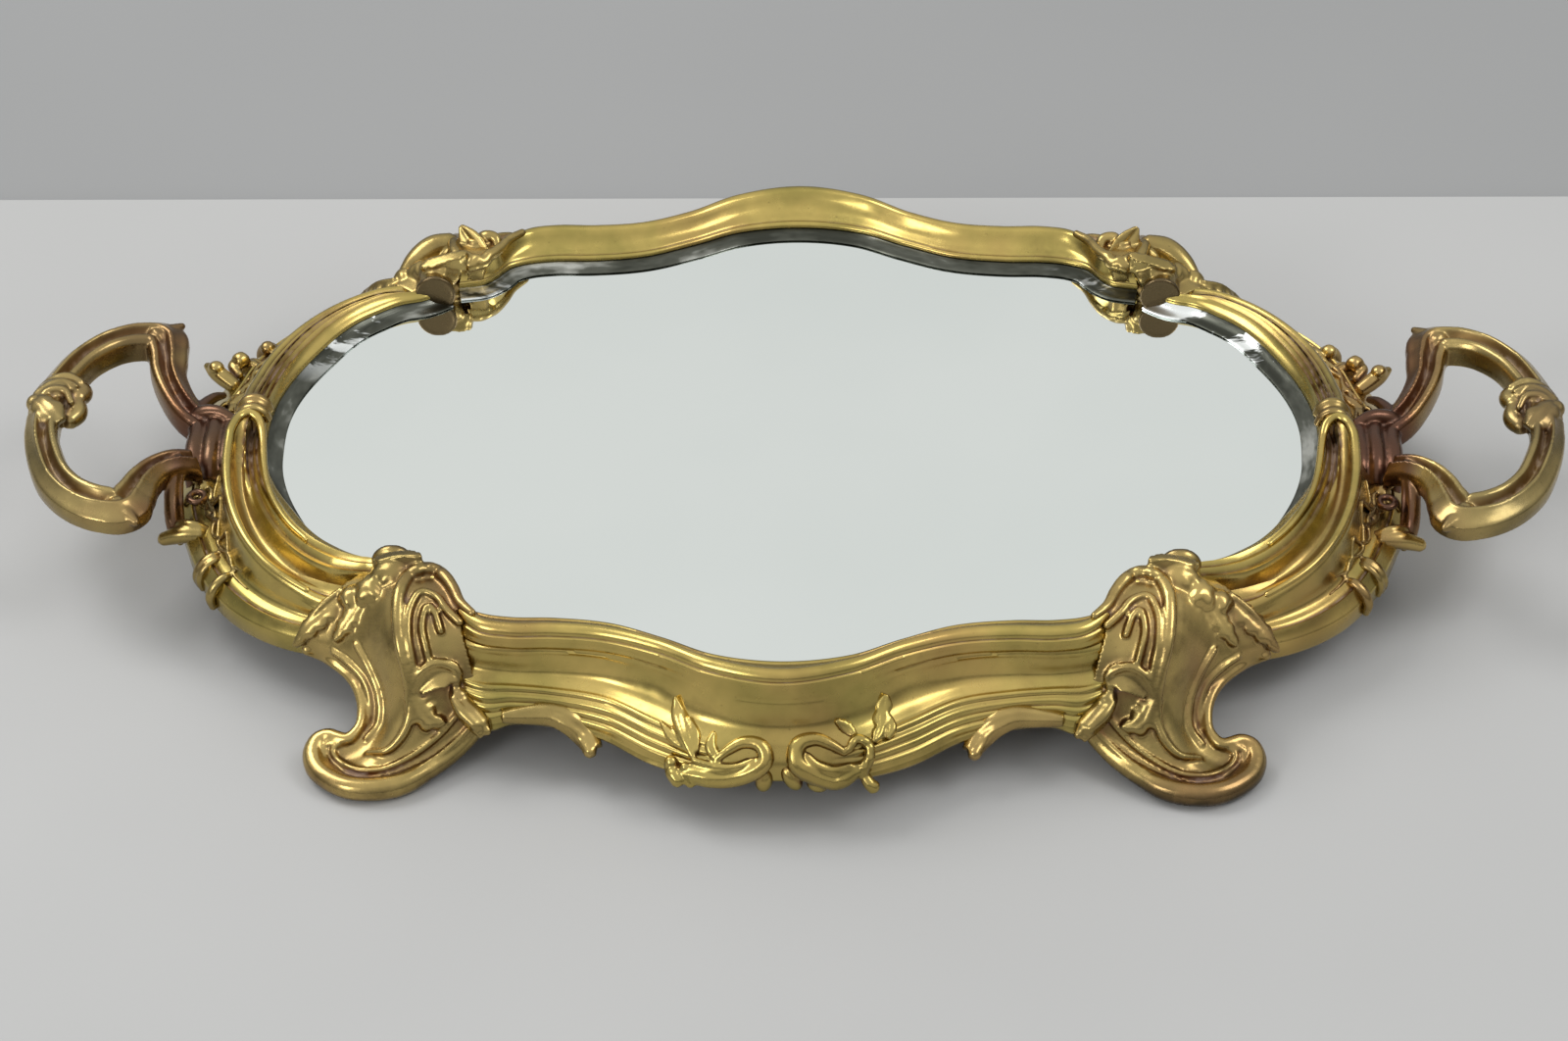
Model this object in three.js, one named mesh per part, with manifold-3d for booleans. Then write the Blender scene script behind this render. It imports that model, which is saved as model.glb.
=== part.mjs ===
// Dresser vanity tray: a cartouche mirror in a cast gilt frame, with four scrolled legs and two loop handles.
// Millimetres, +Z up. The origin is on the table under the middle of the tray, -Y is the front, +X the right.
import * as THREE from "three";
import { mergeVertices } from "three/addons/utils/BufferGeometryUtils.js";
import Module from "manifold-3d";

const wasm = await Module();
wasm.setup();

// ---- Driving dimensions -------------------------------------------------------------------------------------
// The opening's edge, in one quadrant: a bulge at the front, a straight flank, a shoulder and a round side.
const OPENING_HALF_LENGTH = 172;
const OPENING_HALF_DEPTH = 118;
const FLANK_Y = 98.5;
const CORNER_X = 114;

// The mirror's stack, from its face down.
const GLASS_FACE_Z = 38;
const GLASS_THICKNESS = 4;
const CARD_THICKNESS = 0.8;
const BOARD_THICKNESS = 3;
const STACK_GAP = 0.3;
const RABBET_DEPTH = 5;
const EDGE_GAP = 0.5;

// The cast rails.
const WALL = 3;
const LIP = 3.5;
const LIP_TOP_Z = 43.5;
const RIDGE_Z = 50;
const BULGE_RISE = 2;
const RIDGE_OFFSET = 9.5;
const BULGE_RIDGE_OFFSET = 14;
const RAIL_WIDTH_CENTRE = 34;
const RAIL_WIDTH_FLANK = 26;
const RAIL_FOOT_Z = 16;
const RAIL_END_GAP = 0.3;
const SIDE_WIDTH = 25;

// The bezel strip that laps the glass.
const BEZEL_WIDTH = 3.2;
const BEZEL_TOP_Z = 43;

// Legs and feet.
const PAD_THICKNESS = 0.8;
const PAD_RADIUS = 5;
const STUB_RADIUS = 6;

// Handles.
const HANDLE_REACH = 51;
const HANDLE_HALF_SPAN = 56;
const HANDLE_BAR_WIDTH = 12;
const HANDLE_BAR_HEIGHT = 10;
const HANDLE_PLATE = 3.2;
const HANDLE_SCREW_Y = 15;
const HANDLE_SCREW_Z = 25;

// Fasteners and turn buttons.
const SCREW_RADIUS = 1.5;
const SCREW_HEAD_RADIUS = 3;
const SCREW_HEAD_HEIGHT = 1.8;
const SCREW_GRIP = 6;
const HOLE_GAP = 0.3;
const BUTTON_THICKNESS = 2;
const BUTTON_RADIUS = 3;
const BUTTON_REACH = 11;
const BUTTON_OFFSET = 8.2;

const CLEAT_THICKNESS = 2.5;

// ---- Places and heights that follow from them ------------------------------------------------------------------
const FLANK_X = CORNER_X * 0.65;
const CORNER_Y = FLANK_Y - 14.5;
const RAIL_END_X = CORNER_X + 4.5;
const LEDGE_Z = GLASS_FACE_Z + STACK_GAP;
const GLASS_BACK_Z = GLASS_FACE_Z - GLASS_THICKNESS;
const CARD_TOP_Z = GLASS_BACK_Z - STACK_GAP;
const BOARD_TOP_Z = CARD_TOP_Z - CARD_THICKNESS - STACK_GAP;
const BOSS_Z = BOARD_TOP_Z - BOARD_THICKNESS;
const BUTTON_TOP_Z = BOSS_Z - STACK_GAP;
const COLLAR_HALF_LENGTH = 3.5;
const COLLAR_GAP = 0.4;
const HALF = 0.5;

// ---- Finishes ------------------------------------------------------------------------------------------------
const gilt = () => new THREE.MeshStandardMaterial({ color: 0xb08a3c, roughness: 0.3, metalness: 1 });
const handleGilt = () => new THREE.MeshStandardMaterial({ color: 0x9a7838, roughness: 0.35, metalness: 1 });
const bezelMetal = () => new THREE.MeshStandardMaterial({ color: 0x7c7148, roughness: 0.4, metalness: 1 });
const mirror = () => new THREE.MeshStandardMaterial({ color: 0xdfe3e1, roughness: 0.04, metalness: 1 });
const card = () => new THREE.MeshStandardMaterial({ color: 0xb9a98a, roughness: 0.9, metalness: 0 });
const board = () => new THREE.MeshStandardMaterial({ color: 0x6b4a30, roughness: 0.8, metalness: 0 });
const brass = () => new THREE.MeshStandardMaterial({ color: 0xb5954c, roughness: 0.35, metalness: 1 });
const steel = () => new THREE.MeshStandardMaterial({ color: 0x8c8c8a, roughness: 0.4, metalness: 1 });
const felt = () => new THREE.MeshStandardMaterial({ color: 0x2e4034, roughness: 1, metalness: 0 });

// ---- Geometry helpers ----------------------------------------------------------------------------------------
const tray = new THREE.Group();
const v2 = (x, y) => new THREE.Vector2(x, y);
const mix = THREE.MathUtils.lerp;

function add(name, geometry, material) {
  const mesh = new THREE.Mesh(geometry, material);
  mesh.name = name;
  tray.add(mesh);
}

// Turns a geometry's faces outwards and keeps only its positions.
function tidy(geometry) {
  const bare = new THREE.BufferGeometry();
  bare.setAttribute("position", geometry.getAttribute("position"));
  if (geometry.index) bare.setIndex(geometry.index);
  const merged = mergeVertices(bare, 1e-4);
  if (solidOf(merged).volume() < 0) flip(merged);
  return merged;
}

function flip(geometry) {
  const index = geometry.index.array;
  for (let i = 0; i < index.length; i += 3) {
    [index[i + 1], index[i + 2]] = [index[i + 2], index[i + 1]];
  }
}

function solidOf(geometry) {
  return new wasm.Manifold(
    new wasm.Mesh({
      numProp: 3,
      vertProperties: new Float32Array(geometry.attributes.position.array),
      triVerts: new Uint32Array(geometry.index.array),
    }),
  );
}

function geometryOf(solid) {
  const mesh = solid.getMesh();
  const geometry = new THREE.BufferGeometry();
  geometry.setAttribute("position", new THREE.BufferAttribute(mesh.vertProperties, 3));
  geometry.setIndex(new THREE.BufferAttribute(mesh.triVerts, 1));
  return geometry;
}

const join = (a, ...rest) => geometryOf(rest.reduce((s, g) => s.add(solidOf(g)), solidOf(a)));
const cut = (a, ...rest) => geometryOf(rest.reduce((s, g) => s.subtract(solidOf(g)), solidOf(a)));

// A copy in another quadrant: sx and sy are 1 or -1.
function mirrored(geometry, sx, sy) {
  return tidy(geometry.clone().applyMatrix4(new THREE.Matrix4().makeScale(sx, sy, 1)));
}

// A closed solid through a row of rings with as many points each; outline is a flat copy of a ring for the caps.
function loft(rings, outline) {
  const count = outline.length;
  const positions = rings.flat().flatMap((p) => [p.x, p.y, p.z]);
  const index = [];
  for (let r = 0; r < rings.length - 1; r++) {
    for (let i = 0; i < count; i++) {
      const j = (i + 1) % count;
      const [a, b] = [r * count + i, r * count + j];
      index.push(a, b, b + count, a, b + count, a + count);
    }
  }
  const last = (rings.length - 1) * count;
  for (const [a, b, c] of THREE.ShapeUtils.triangulateShape(outline, [])) {
    index.push(c, b, a, last + a, last + b, last + c);
  }
  // The side faces and the caps have to turn the same way, whichever way the outline runs.
  if (!THREE.ShapeUtils.isClockWise(outline)) {
    for (let i = (rings.length - 1) * count * 6; i < index.length; i += 3) {
      [index[i + 1], index[i + 2]] = [index[i + 2], index[i + 1]];
    }
  }
  const geometry = new THREE.BufferGeometry();
  geometry.setAttribute("position", new THREE.Float32BufferAttribute(positions, 3));
  geometry.setIndex(index);
  return tidy(closedLoft(geometry, rings.length, count));
}

// Flips the caps when they disagree with the sides, which a closed solid can't have.
function closedLoft(geometry, ringCount, count) {
  try {
    solidOf(geometry);
  } catch {
    const index = geometry.index.array;
    for (let i = (ringCount - 1) * count * 6; i < index.length; i += 3) {
      [index[i + 1], index[i + 2]] = [index[i + 2], index[i + 1]];
    }
  }
  return geometry;
}

function plate(outline, bottom, top) {
  const shape = new THREE.Shape(outline);
  const geometry = new THREE.ExtrudeGeometry(shape, { depth: top - bottom, bevelEnabled: false });
  return tidy(geometry.translate(0, 0, bottom));
}

function rod(radius, bottom, top, x, y, sides = 12) {
  const geometry = new THREE.CylinderGeometry(radius, radius, top - bottom, sides);
  return tidy(geometry.rotateX(Math.PI / 2).translate(x, y, (top + bottom) / 2));
}

// A screw that points up from a seat: a round head below it and a plain shank above.
function screw(x, y, seat, grip) {
  const profile = [
    v2(0, seat - SCREW_HEAD_HEIGHT),
    v2(SCREW_HEAD_RADIUS * 0.7, seat - SCREW_HEAD_HEIGHT),
    v2(SCREW_HEAD_RADIUS, seat - SCREW_HEAD_HEIGHT * HALF),
    v2(SCREW_HEAD_RADIUS, seat),
    v2(SCREW_RADIUS, seat),
    v2(SCREW_RADIUS, seat + grip),
    v2(0, seat + grip),
  ];
  const turned = new THREE.LatheGeometry(profile, 8).rotateX(Math.PI / 2);
  return tidy(turned.translate(x, y, 0));
}

// ---- The opening's edge --------------------------------------------------------------------------------------
// Each stretch is a cubic curve. A station is a point on the edge and the way outwards from it.
const bulge = new THREE.CubicBezierCurve(
  v2(0, -OPENING_HALF_DEPTH),
  v2(FLANK_X * 0.4, -OPENING_HALF_DEPTH),
  v2(FLANK_X * 0.54, -FLANK_Y),
  v2(FLANK_X, -FLANK_Y),
);
const flank = new THREE.CubicBezierCurve(
  v2(FLANK_X, -FLANK_Y),
  v2(mix(FLANK_X, CORNER_X, 0.52), -FLANK_Y),
  v2(CORNER_X - 14.5, -CORNER_Y - 15),
  v2(CORNER_X - 11.5, -CORNER_Y - 10),
);
const shoulder = new THREE.CubicBezierCurve(
  v2(CORNER_X - 11.5, -CORNER_Y - 10),
  v2(CORNER_X - 9, -CORNER_Y - 5),
  v2(CORNER_X - 6, -CORNER_Y - 1),
  v2(CORNER_X, -CORNER_Y),
);
const corner = new THREE.CubicBezierCurve(
  v2(CORNER_X, -CORNER_Y),
  v2(CORNER_X + 7, -CORNER_Y + 1),
  v2(CORNER_X + 10, -CORNER_Y + 11),
  v2(CORNER_X + 20, -CORNER_Y + 12),
);
const side = new THREE.CubicBezierCurve(
  v2(CORNER_X + 20, -CORNER_Y + 12),
  v2(CORNER_X + 39, -CORNER_Y + 14),
  v2(OPENING_HALF_LENGTH, -44),
  v2(OPENING_HALF_LENGTH, 0),
);
// How far along the side curve the side rail begins, its panel is widest, and its plain middle begins.
const SIDE_START = 0.25;
const PANEL_T = 0.58;
const PANEL_END_T = 0.74;
const MIDDLE_T = 0.82;

const steps = (from, to, n) => Array.from({ length: n + 1 }, (_, i) => mix(from, to, i / n));
const frontStation = (curve, t) => ({ p: curve.getPoint(t), d: v2(0, -1) });

function sideStation(t) {
  const tangent = side.getTangent(t);
  return { p: side.getPoint(t), d: v2(tangent.y, -tangent.x), t };
}

// Where the corner curve reaches the end of the front rail.
function cornerEnd() {
  let [low, high] = [0, 1];
  for (let i = 0; i < 30; i++) {
    const middle = (low + high) / 2;
    if (corner.getPoint(middle).x < RAIL_END_X) low = middle;
    else high = middle;
  }
  return low;
}

const frontQuarter = [
  ...steps(0, 1, 7).map((t) => frontStation(bulge, t)),
  ...steps(0.25, 1, 3).map((t) => frontStation(flank, t)),
  ...steps(0.33, 1, 2).map((t) => frontStation(shoulder, t)),
  frontStation(corner, cornerEnd()),
];
const sideQuarter = [...steps(SIDE_START, PANEL_END_T, 4), ...steps(MIDDLE_T, 1, 2)].map(sideStation);

function cornerStations() {
  const from = cornerEnd();
  const start = sideStation(SIDE_START);
  const onCorner = steps(from, 1, 4).slice(1).map((t, i) => ({ p: corner.getPoint(t), share: (i + 1) / 6 }));
  const onSide = [{ p: side.getPoint(SIDE_START / 2), share: 5 / 6 }];
  return [...onCorner, ...onSide].map(({ p, share }) => ({
    p,
    d: v2(0, -1).lerp(start.d, share).normalize(),
  }));
}

const flipX = ({ p, d, t }) => ({ p: v2(-p.x, p.y), d: v2(-d.x, d.y), t });
const flipY = ({ p, d, t }) => ({ p: v2(p.x, -p.y), d: v2(d.x, -d.y), t });
const frontStations = [...frontQuarter.slice(1).map(flipX).reverse(), ...frontQuarter];
const sideStations = [...sideQuarter, ...sideQuarter.slice(0, -1).map(flipY).reverse()];
const quarter = [...frontQuarter, ...cornerStations(), ...sideQuarter];
const around = [
  ...quarter,
  ...quarter.slice(0, -1).map(flipY).reverse(),
  ...quarter.slice(1).map(flipX).map(flipY),
  ...quarter.slice(1, -1).map(flipX).reverse(),
];

const outward = ({ p, d }, s) => v2(p.x + d.x * s, p.y + d.y * s);
const at = (station, s, z) => {
  const q = outward(station, s);
  return new THREE.Vector3(q.x, q.y, z);
};
const outlineAt = (offset) => around.map((station) => outward(station, offset));

// ---- Cross-sections, as (s, z): s outwards from the opening's edge ---------------------------------------------
const COVE = [
  [0.16, 0.13],
  [0.24, 0.32],
  [0.38, 0.52],
  [0.56, 0.74],
  [0.78, 0.92],
  [1, 1],
];

// The outer edge of the front rail, as a y for an x.
function railFootY(x) {
  const centre = -OPENING_HALF_DEPTH - RAIL_WIDTH_CENTRE;
  const straight = -FLANK_Y - RAIL_WIDTH_FLANK;
  const foot = new THREE.CubicBezierCurve(
    v2(0, centre),
    v2(FLANK_X * 0.43, centre),
    v2(FLANK_X * 0.57, straight),
    v2(FLANK_X, straight),
  );
  const reach = Math.abs(x);
  if (reach >= FLANK_X) return straight;
  let [low, high] = [0, 1];
  for (let i = 0; i < 30; i++) {
    const middle = (low + high) / 2;
    if (foot.getPoint(middle).x < reach) low = middle;
    else high = middle;
  }
  return foot.getPoint(low).y;
}

// The ridge stands further out, and a little higher, round the bulge.
function ridgeAt(x) {
  const share = Math.max(0, 1 - Math.abs(x) / FLANK_X);
  return { offset: mix(RIDGE_OFFSET, BULGE_RIDGE_OFFSET, share), z: RIDGE_Z + BULGE_RISE * share };
}

function frontSection({ p }) {
  const foot = p.y - railFootY(p.x);
  const { offset, z: ridge } = ridgeAt(p.x);
  const cove = COVE.map(([s, z]) => v2(mix(offset, foot, s), mix(ridge, RAIL_FOOT_Z, z)));
  const upper = cove.findIndex((q) => q.y < BOSS_Z);
  const [a, b] = [cove[upper - 1], cove[upper]];
  const bossEdge = mix(a.x, b.x, (a.y - BOSS_Z) / (a.y - b.y)) - WALL;
  return [
    v2(LIP, LIP_TOP_Z),
    v2(offset - 2.5, ridge - 0.8),
    v2(offset, ridge),
    ...cove,
    v2(foot - WALL, RAIL_FOOT_Z),
    v2(cove[4].x - WALL, cove[4].y - 0.5),
    v2(cove[3].x - WALL, cove[3].y - 0.5),
    v2(bossEdge, BOSS_Z),
    v2(RABBET_DEPTH, BOSS_Z),
    v2(RABBET_DEPTH, LEDGE_Z),
    v2(LIP, LEDGE_Z),
  ];
}

// The side rail's sections: at its middle, across the panel, and at the leg.
const SIDE_MIDDLE = [
  [LIP, LIP_TOP_Z],
  [5, RIDGE_Z],
  [8, RIDGE_Z + 0.5],
  [11, 48],
  [13.5, 42],
  [17, 38],
  [22, 35.5],
  [SIDE_WIDTH, 33],
  [SIDE_WIDTH, 24],
  [SIDE_WIDTH, RAIL_FOOT_Z],
  [SIDE_WIDTH - WALL, RAIL_FOOT_Z],
  [SIDE_WIDTH - WALL, 24],
  [SIDE_WIDTH - WALL - 1, BOSS_Z],
];
const SIDE_PANEL = [
  [LIP, LIP_TOP_Z],
  [5, 48.5],
  [8, 46.5],
  [13, 44],
  [18.5, 46],
  [21, 41],
  [24.5, 32.5],
  [28, 31],
  [31.5, 26],
  [33, RAIL_FOOT_Z + 1],
  [33 - WALL, RAIL_FOOT_Z + 1],
  [31.5 - WALL, 24],
  [24.5 - WALL, BOSS_Z],
];
const SIDE_END = [
  [LIP, LIP_TOP_Z],
  [5, 48.5],
  [8, 46.5],
  [12, 43],
  [16, 44],
  [18, 39],
  [20, 32],
  [23, 30.5],
  [26, 25],
  [27, RAIL_FOOT_Z + 1],
  [27 - WALL, RAIL_FOOT_Z + 1],
  [26 - WALL, 23],
  [20 - WALL, BOSS_Z],
];

function sideSection({ t }) {
  const [low, high, share] =
    t < PANEL_T
      ? [SIDE_END, SIDE_PANEL, (t - SIDE_START) / (PANEL_T - SIDE_START)]
      : [SIDE_PANEL, SIDE_MIDDLE, THREE.MathUtils.clamp((t - PANEL_END_T) / (MIDDLE_T - PANEL_END_T), 0, 1)];
  const skin = low.map(([s, z], i) => v2(mix(s, high[i][0], share), mix(z, high[i][1], share)));
  return [...skin, v2(RABBET_DEPTH, BOSS_Z), v2(RABBET_DEPTH, LEDGE_Z), v2(LIP, LEDGE_Z)];
}

const bezelSection = () => [
  v2(0, LEDGE_Z),
  v2(0, BEZEL_TOP_Z - 1),
  v2(1, BEZEL_TOP_Z),
  v2(BEZEL_WIDTH, BEZEL_TOP_Z),
  v2(BEZEL_WIDTH, LEDGE_Z),
];

function strip(stations, section) {
  const rings = stations.map((station) => section(station).map((q) => at(station, q.x, q.y)));
  return loft(rings, section(stations[0]));
}

// ---- Fastener places -----------------------------------------------------------------------------------------
function edgeY(x) {
  const near = frontQuarter.findIndex(({ p }) => p.x > x);
  const [a, b] = [frontQuarter[near - 1].p, frontQuarter[near].p];
  return mix(a.y, b.y, (x - a.x) / (b.x - a.x));
}

const flankPivot = v2(FLANK_X, -FLANK_Y - BUTTON_OFFSET);
const sidePivot = v2(OPENING_HALF_LENGTH + BUTTON_OFFSET, 0);
const railCleatHole = v2(CORNER_X - 6, edgeY(CORNER_X - 6) - RABBET_DEPTH - 5);
const sideCleatStation = sideStation(SIDE_START + 0.1);
const sideCleatHole = outward(sideCleatStation, RABBET_DEPTH + 5);

const shankHole = (p) => rod(SCREW_RADIUS + HOLE_GAP, BOSS_Z - 1, BOSS_Z + SCREW_GRIP, p.x, p.y, 10);

// A bore along X for one of a handle's screws, from one x to another.
function crossBore(radius, from, to, sy) {
  const bore = new THREE.CylinderGeometry(radius, radius, to - from, 12);
  return tidy(bore.rotateZ(Math.PI / 2).translate((from + to) / 2, sy * HANDLE_SCREW_Y, HANDLE_SCREW_Z));
}

// An egg-shaped boss of cast ornament, turned about Z.
function egg(x, y, z, length, width, height, turn) {
  const geometry = new THREE.SphereGeometry(HALF, 6, 4).scale(length, width, height);
  return tidy(geometry.rotateZ(turn).translate(x, y, z));
}

// A round scroll stem through the given points.
function stem(points, radius) {
  const line = new THREE.CatmullRomCurve3(points.map(([x, y, z]) => new THREE.Vector3(x, y, z)));
  const ring = steps(0, 1, 5).slice(1).map((t) => v2(Math.cos(t * 2 * Math.PI), Math.sin(t * 2 * Math.PI)));
  const shape = new THREE.Shape(ring.map((q) => q.multiplyScalar(radius)));
  return tidy(new THREE.ExtrudeGeometry(shape, { extrudePath: line, steps: 6, bevelEnabled: false }));
}

// How far out the front rail's face is at a place along it and a height.
function faceY(x, z) {
  const edge = edgeY(Math.abs(x));
  const { offset, z: ridge } = ridgeAt(x);
  const drop = (ridge - z) / (ridge - RAIL_FOOT_Z);
  const upper = COVE.findIndex((q) => q[1] > drop);
  const [a, b] = [COVE[upper - 1], COVE[upper]];
  const share = mix(a[0], b[0], (drop - a[1]) / (b[1] - a[1]));
  return edge - mix(offset, edge - railFootY(x), share);
}

// The spray at the middle of a long rail: a leaf, a scroll, a knot on each side, and three drops between.
function spray() {
  const drop = (x, z, length, width, height, turn) =>
    egg(x, faceY(x, z) + 0.5, z, length, width, height, turn);
  const scrollPoint = (x, z) => [x, faceY(x, z) + 0.5, z];
  const oneSide = [1, -1].flatMap((sx) => [
    stem([[11, 20], [20, 18.5], [29, 19], [35, 22], [36, 27]].map(([x, z]) => scrollPoint(sx * x, z)), 2),
    drop(sx * 30, 18.5, 9, 8, 5.5, 0),
    drop(sx * 31, 32, 9, 7, 13, sx * 0.4),
    drop(sx * 21, 27, 9, 6, 6, sx * 0.2),
    drop(sx * 8.5, 18.5, 6, 7, 5, 0),
  ]);
  return [...oneSide, drop(0, 18.5, 6, 7, 5, 0)];
}

// The rosebud and its tail leaf, by the foot.
function rosebud() {
  const onFace = (x, z) => [x, faceY(x, z) + 0.5, z];
  return [1, -1].flatMap((sx) => [
    egg(...onFace(sx * (CORNER_X - 17), 21), 17, 9, 7, sx * -0.3),
    egg(...onFace(sx * (CORNER_X - 6), 29), 12, 9, 5, 0),
    stem([[24, 20], [36, 18.5], [48, 18.5], [57, 18.5]].map(([x, z]) => onFace(sx * (CORNER_X - x), z)), 2),
  ]);
}

// Three ties along the outer edge of the side rail, on each side of the handle.
function ties() {
  return [0.56, 0.64, 0.73].flatMap((t, i) =>
    [1, -1].map((sy) => {
      const q = outward(sideStation(t), 30.5);
      return mirrored(egg(q.x, q.y, 26, 7 + i, 6, 8, -HALF), 1, sy);
    }),
  );
}

// ---- Rails, bezel and collars --------------------------------------------------------------------------------
function frontRail() {
  const holes = [1, -1].flatMap((sx) => [
    mirrored(shankHole(flankPivot), sx, 1),
    mirrored(shankHole(railCleatHole), sx, 1),
  ]);
  const cast = join(strip(frontStations, frontSection), ...spray(), ...rosebud());
  return cut(cast, ...holes);
}

function sideRail() {
  const cleats = [1, -1].map((sy) => mirrored(shankHole(sideCleatHole), 1, sy));
  const inside = OPENING_HALF_LENGTH + SIDE_WIDTH - WALL;
  const handleHoles = [1, -1].flatMap((sy) => [
    crossBore(SCREW_RADIUS + HOLE_GAP, inside - WALL, inside + 2 * WALL, sy),
    crossBore(SCREW_HEAD_RADIUS + HOLE_GAP, inside - 2 * WALL, inside, sy),
  ]);
  const cast = join(strip(sideStations, sideSection), ...ties());
  return cut(cast, shankHole(sidePivot), ...cleats, ...handleHoles);
}

// A saddle over the top of the side rail, between the tips of its two panels.
function collar(rail) {
  const under = SIDE_MIDDLE.slice(0, 4).map(([s, z]) => v2(OPENING_HALF_LENGTH + s, z - COLLAR_GAP));
  const over = [v2(12.4, 49), v2(11, 51.4), v2(8, 53), v2(5, 52.6), v2(2.4, 50.5), v2(1.6, 46.8)];
  const outline = [...under, ...over.map((q) => v2(OPENING_HALF_LENGTH + q.x, q.y))];
  const geometry = new THREE.ExtrudeGeometry(new THREE.Shape(outline), {
    depth: 2 * COLLAR_HALF_LENGTH,
    bevelEnabled: false,
  });
  const saddle = tidy(geometry.rotateX(Math.PI / 2).translate(0, COLLAR_HALF_LENGTH, 0));
  const shifted = (x, z) => rail.clone().translate(x, 0, z);
  return cut(saddle, shifted(-COLLAR_GAP, 0), shifted(0, COLLAR_GAP), shifted(COLLAR_GAP, 0));
}

const frontRailShape = frontRail();
const sideRailShape = sideRail();
const collarShape = collar(sideRailShape);
const frontBezel = strip(frontStations, bezelSection);
const sideBezel = strip(sideStations, bezelSection);
for (const [word, sign] of [["front", 1], ["back", -1]]) {
  add(`rail_${word}`, mirrored(frontRailShape, 1, sign), gilt());
  add(`bezel_${word}`, mirrored(frontBezel, 1, sign), bezelMetal());
}
for (const [word, sign] of [["right", 1], ["left", -1]]) {
  add(`rail_${word}`, mirrored(sideRailShape, sign, 1), gilt());
  add(`bezel_${word}`, mirrored(sideBezel, sign, 1), bezelMetal());
  add(`collar_${word}`, mirrored(collarShape, sign, 1), gilt());
}

// ---- Mirror, card and board ----------------------------------------------------------------------------------
const plateOutline = outlineAt(RABBET_DEPTH - EDGE_GAP);
add("mirror_glass", plate(plateOutline, GLASS_BACK_Z, GLASS_FACE_Z), mirror());
add("packing_card", plate(plateOutline, CARD_TOP_Z - CARD_THICKNESS, CARD_TOP_Z), card());
add("backing_board", plate(plateOutline, BOSS_Z, BOARD_TOP_Z), board());

// ---- Legs ----------------------------------------------------------------------------------------------------
// Slices from the stub over the glass out to the toe: depth behind the corner, the two sides, top and bottom.
// Each x is a distance from the end of the front rail, and each y one from the corner.
const LEG_SLICES = [
  { y: 11, near: 1, far: 13, top: 46, bottom: LEDGE_Z },
  { y: 4, near: 0, far: 34, top: 48, bottom: BOSS_Z },
  { y: -5, near: 0, far: 48, top: 46, bottom: BOSS_Z - 1 },
  { y: -13, near: 0, far: 39, top: 41, bottom: 25 },
  { y: -22, near: 0, far: 20, top: 36, bottom: 20 },
  { y: -31, near: 0, far: 15, top: 27, bottom: 10 },
  { y: -39, near: 0, far: 17, top: 15, bottom: 4 },
  { y: -50, near: 0, far: 20, top: 8, bottom: PAD_THICKNESS + STACK_GAP },
];
// The foot is a scroll that runs from under the front rail out past the leg: its two edges, top and bottom.
const FOOT_SLICES = [
  { x: -25, back: -40.5, front: -45, top: 18, bottom: 14 },
  { x: -15, back: -40.5, front: -49, top: 16, bottom: 8 },
  { x: -5, back: -40.5, front: -55, top: 13, bottom: 3 },
  { x: 6, back: -40.5, front: -60, top: 11, bottom: PAD_THICKNESS + STACK_GAP },
  { x: 16, back: -40.5, front: -59, top: 9, bottom: PAD_THICKNESS + STACK_GAP },
  { x: 25, back: -40.5, front: -54, top: 8, bottom: PAD_THICKNESS + STACK_GAP },
  { x: 31, back: -38, front: -46, top: 6, bottom: PAD_THICKNESS + STACK_GAP },
];
const LEG_NEAR_X = RAIL_END_X + RAIL_END_GAP;

// An eight-sided slice: a box whose top and outer edges are chamfered.
function legSlice({ y, near, far, top, bottom }) {
  const [x0, x1] = [LEG_NEAR_X + near, LEG_NEAR_X + far];
  const bevel = Math.min(3, (top - bottom) / 3);
  return [
    v2(x0, bottom),
    v2(x0, top - bevel),
    v2(x0 + bevel, top),
    v2(x1 - 2 * bevel, top),
    v2(x1 - bevel * HALF, top - bevel),
    v2(x1, bottom + bevel),
    v2(x1 - bevel, bottom),
  ].map((q) => new THREE.Vector3(q.x, y - CORNER_Y, q.y));
}

// The leg stops short of the side rail's end, which slants across the corner.
function sideRailSpace() {
  const start = sideStation(SIDE_START);
  const along = v2(-start.d.y, start.d.x);
  const near = outward(start, -20).addScaledVector(along, -RAIL_END_GAP);
  const far = outward(start, 60).addScaledVector(along, -RAIL_END_GAP);
  const outline = [near, far, far.clone().addScaledVector(along, 60), near.clone().addScaledVector(along, 60)];
  return plate(outline, RAIL_FOOT_Z - 4, RIDGE_Z + 20);
}

// A flat cleat under the ends of both rails, with a hole for a screw into each.
function cleat() {
  const reach = SCREW_HEAD_RADIUS + 1;
  const inside = RABBET_DEPTH + 1;
  const outline = [
    v2(railCleatHole.x - reach, railCleatHole.y + reach - 0.5),
    v2(railCleatHole.x + reach, railCleatHole.y + reach - 0.5),
    v2(RAIL_END_X + 2, -CORNER_Y - inside),
    outward(cornerStations()[3], inside + 1.5),
    outward(sideStation(SIDE_START), inside),
    outward(sideStation(SIDE_START + 0.15), inside),
    outward(sideStation(SIDE_START + 0.15), inside + 2 * reach),
    v2(RAIL_END_X + 12, -CORNER_Y - 16),
    v2(railCleatHole.x - reach, railCleatHole.y - reach),
  ];
  const top = BOSS_Z - STACK_GAP;
  const holes = [railCleatHole, sideCleatHole].map((p) =>
    rod(SCREW_RADIUS + HOLE_GAP, top - CLEAT_THICKNESS - 1, top + 1, p.x, p.y),
  );
  return cut(plate(outline, top - CLEAT_THICKNESS, top), ...holes);
}

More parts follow.
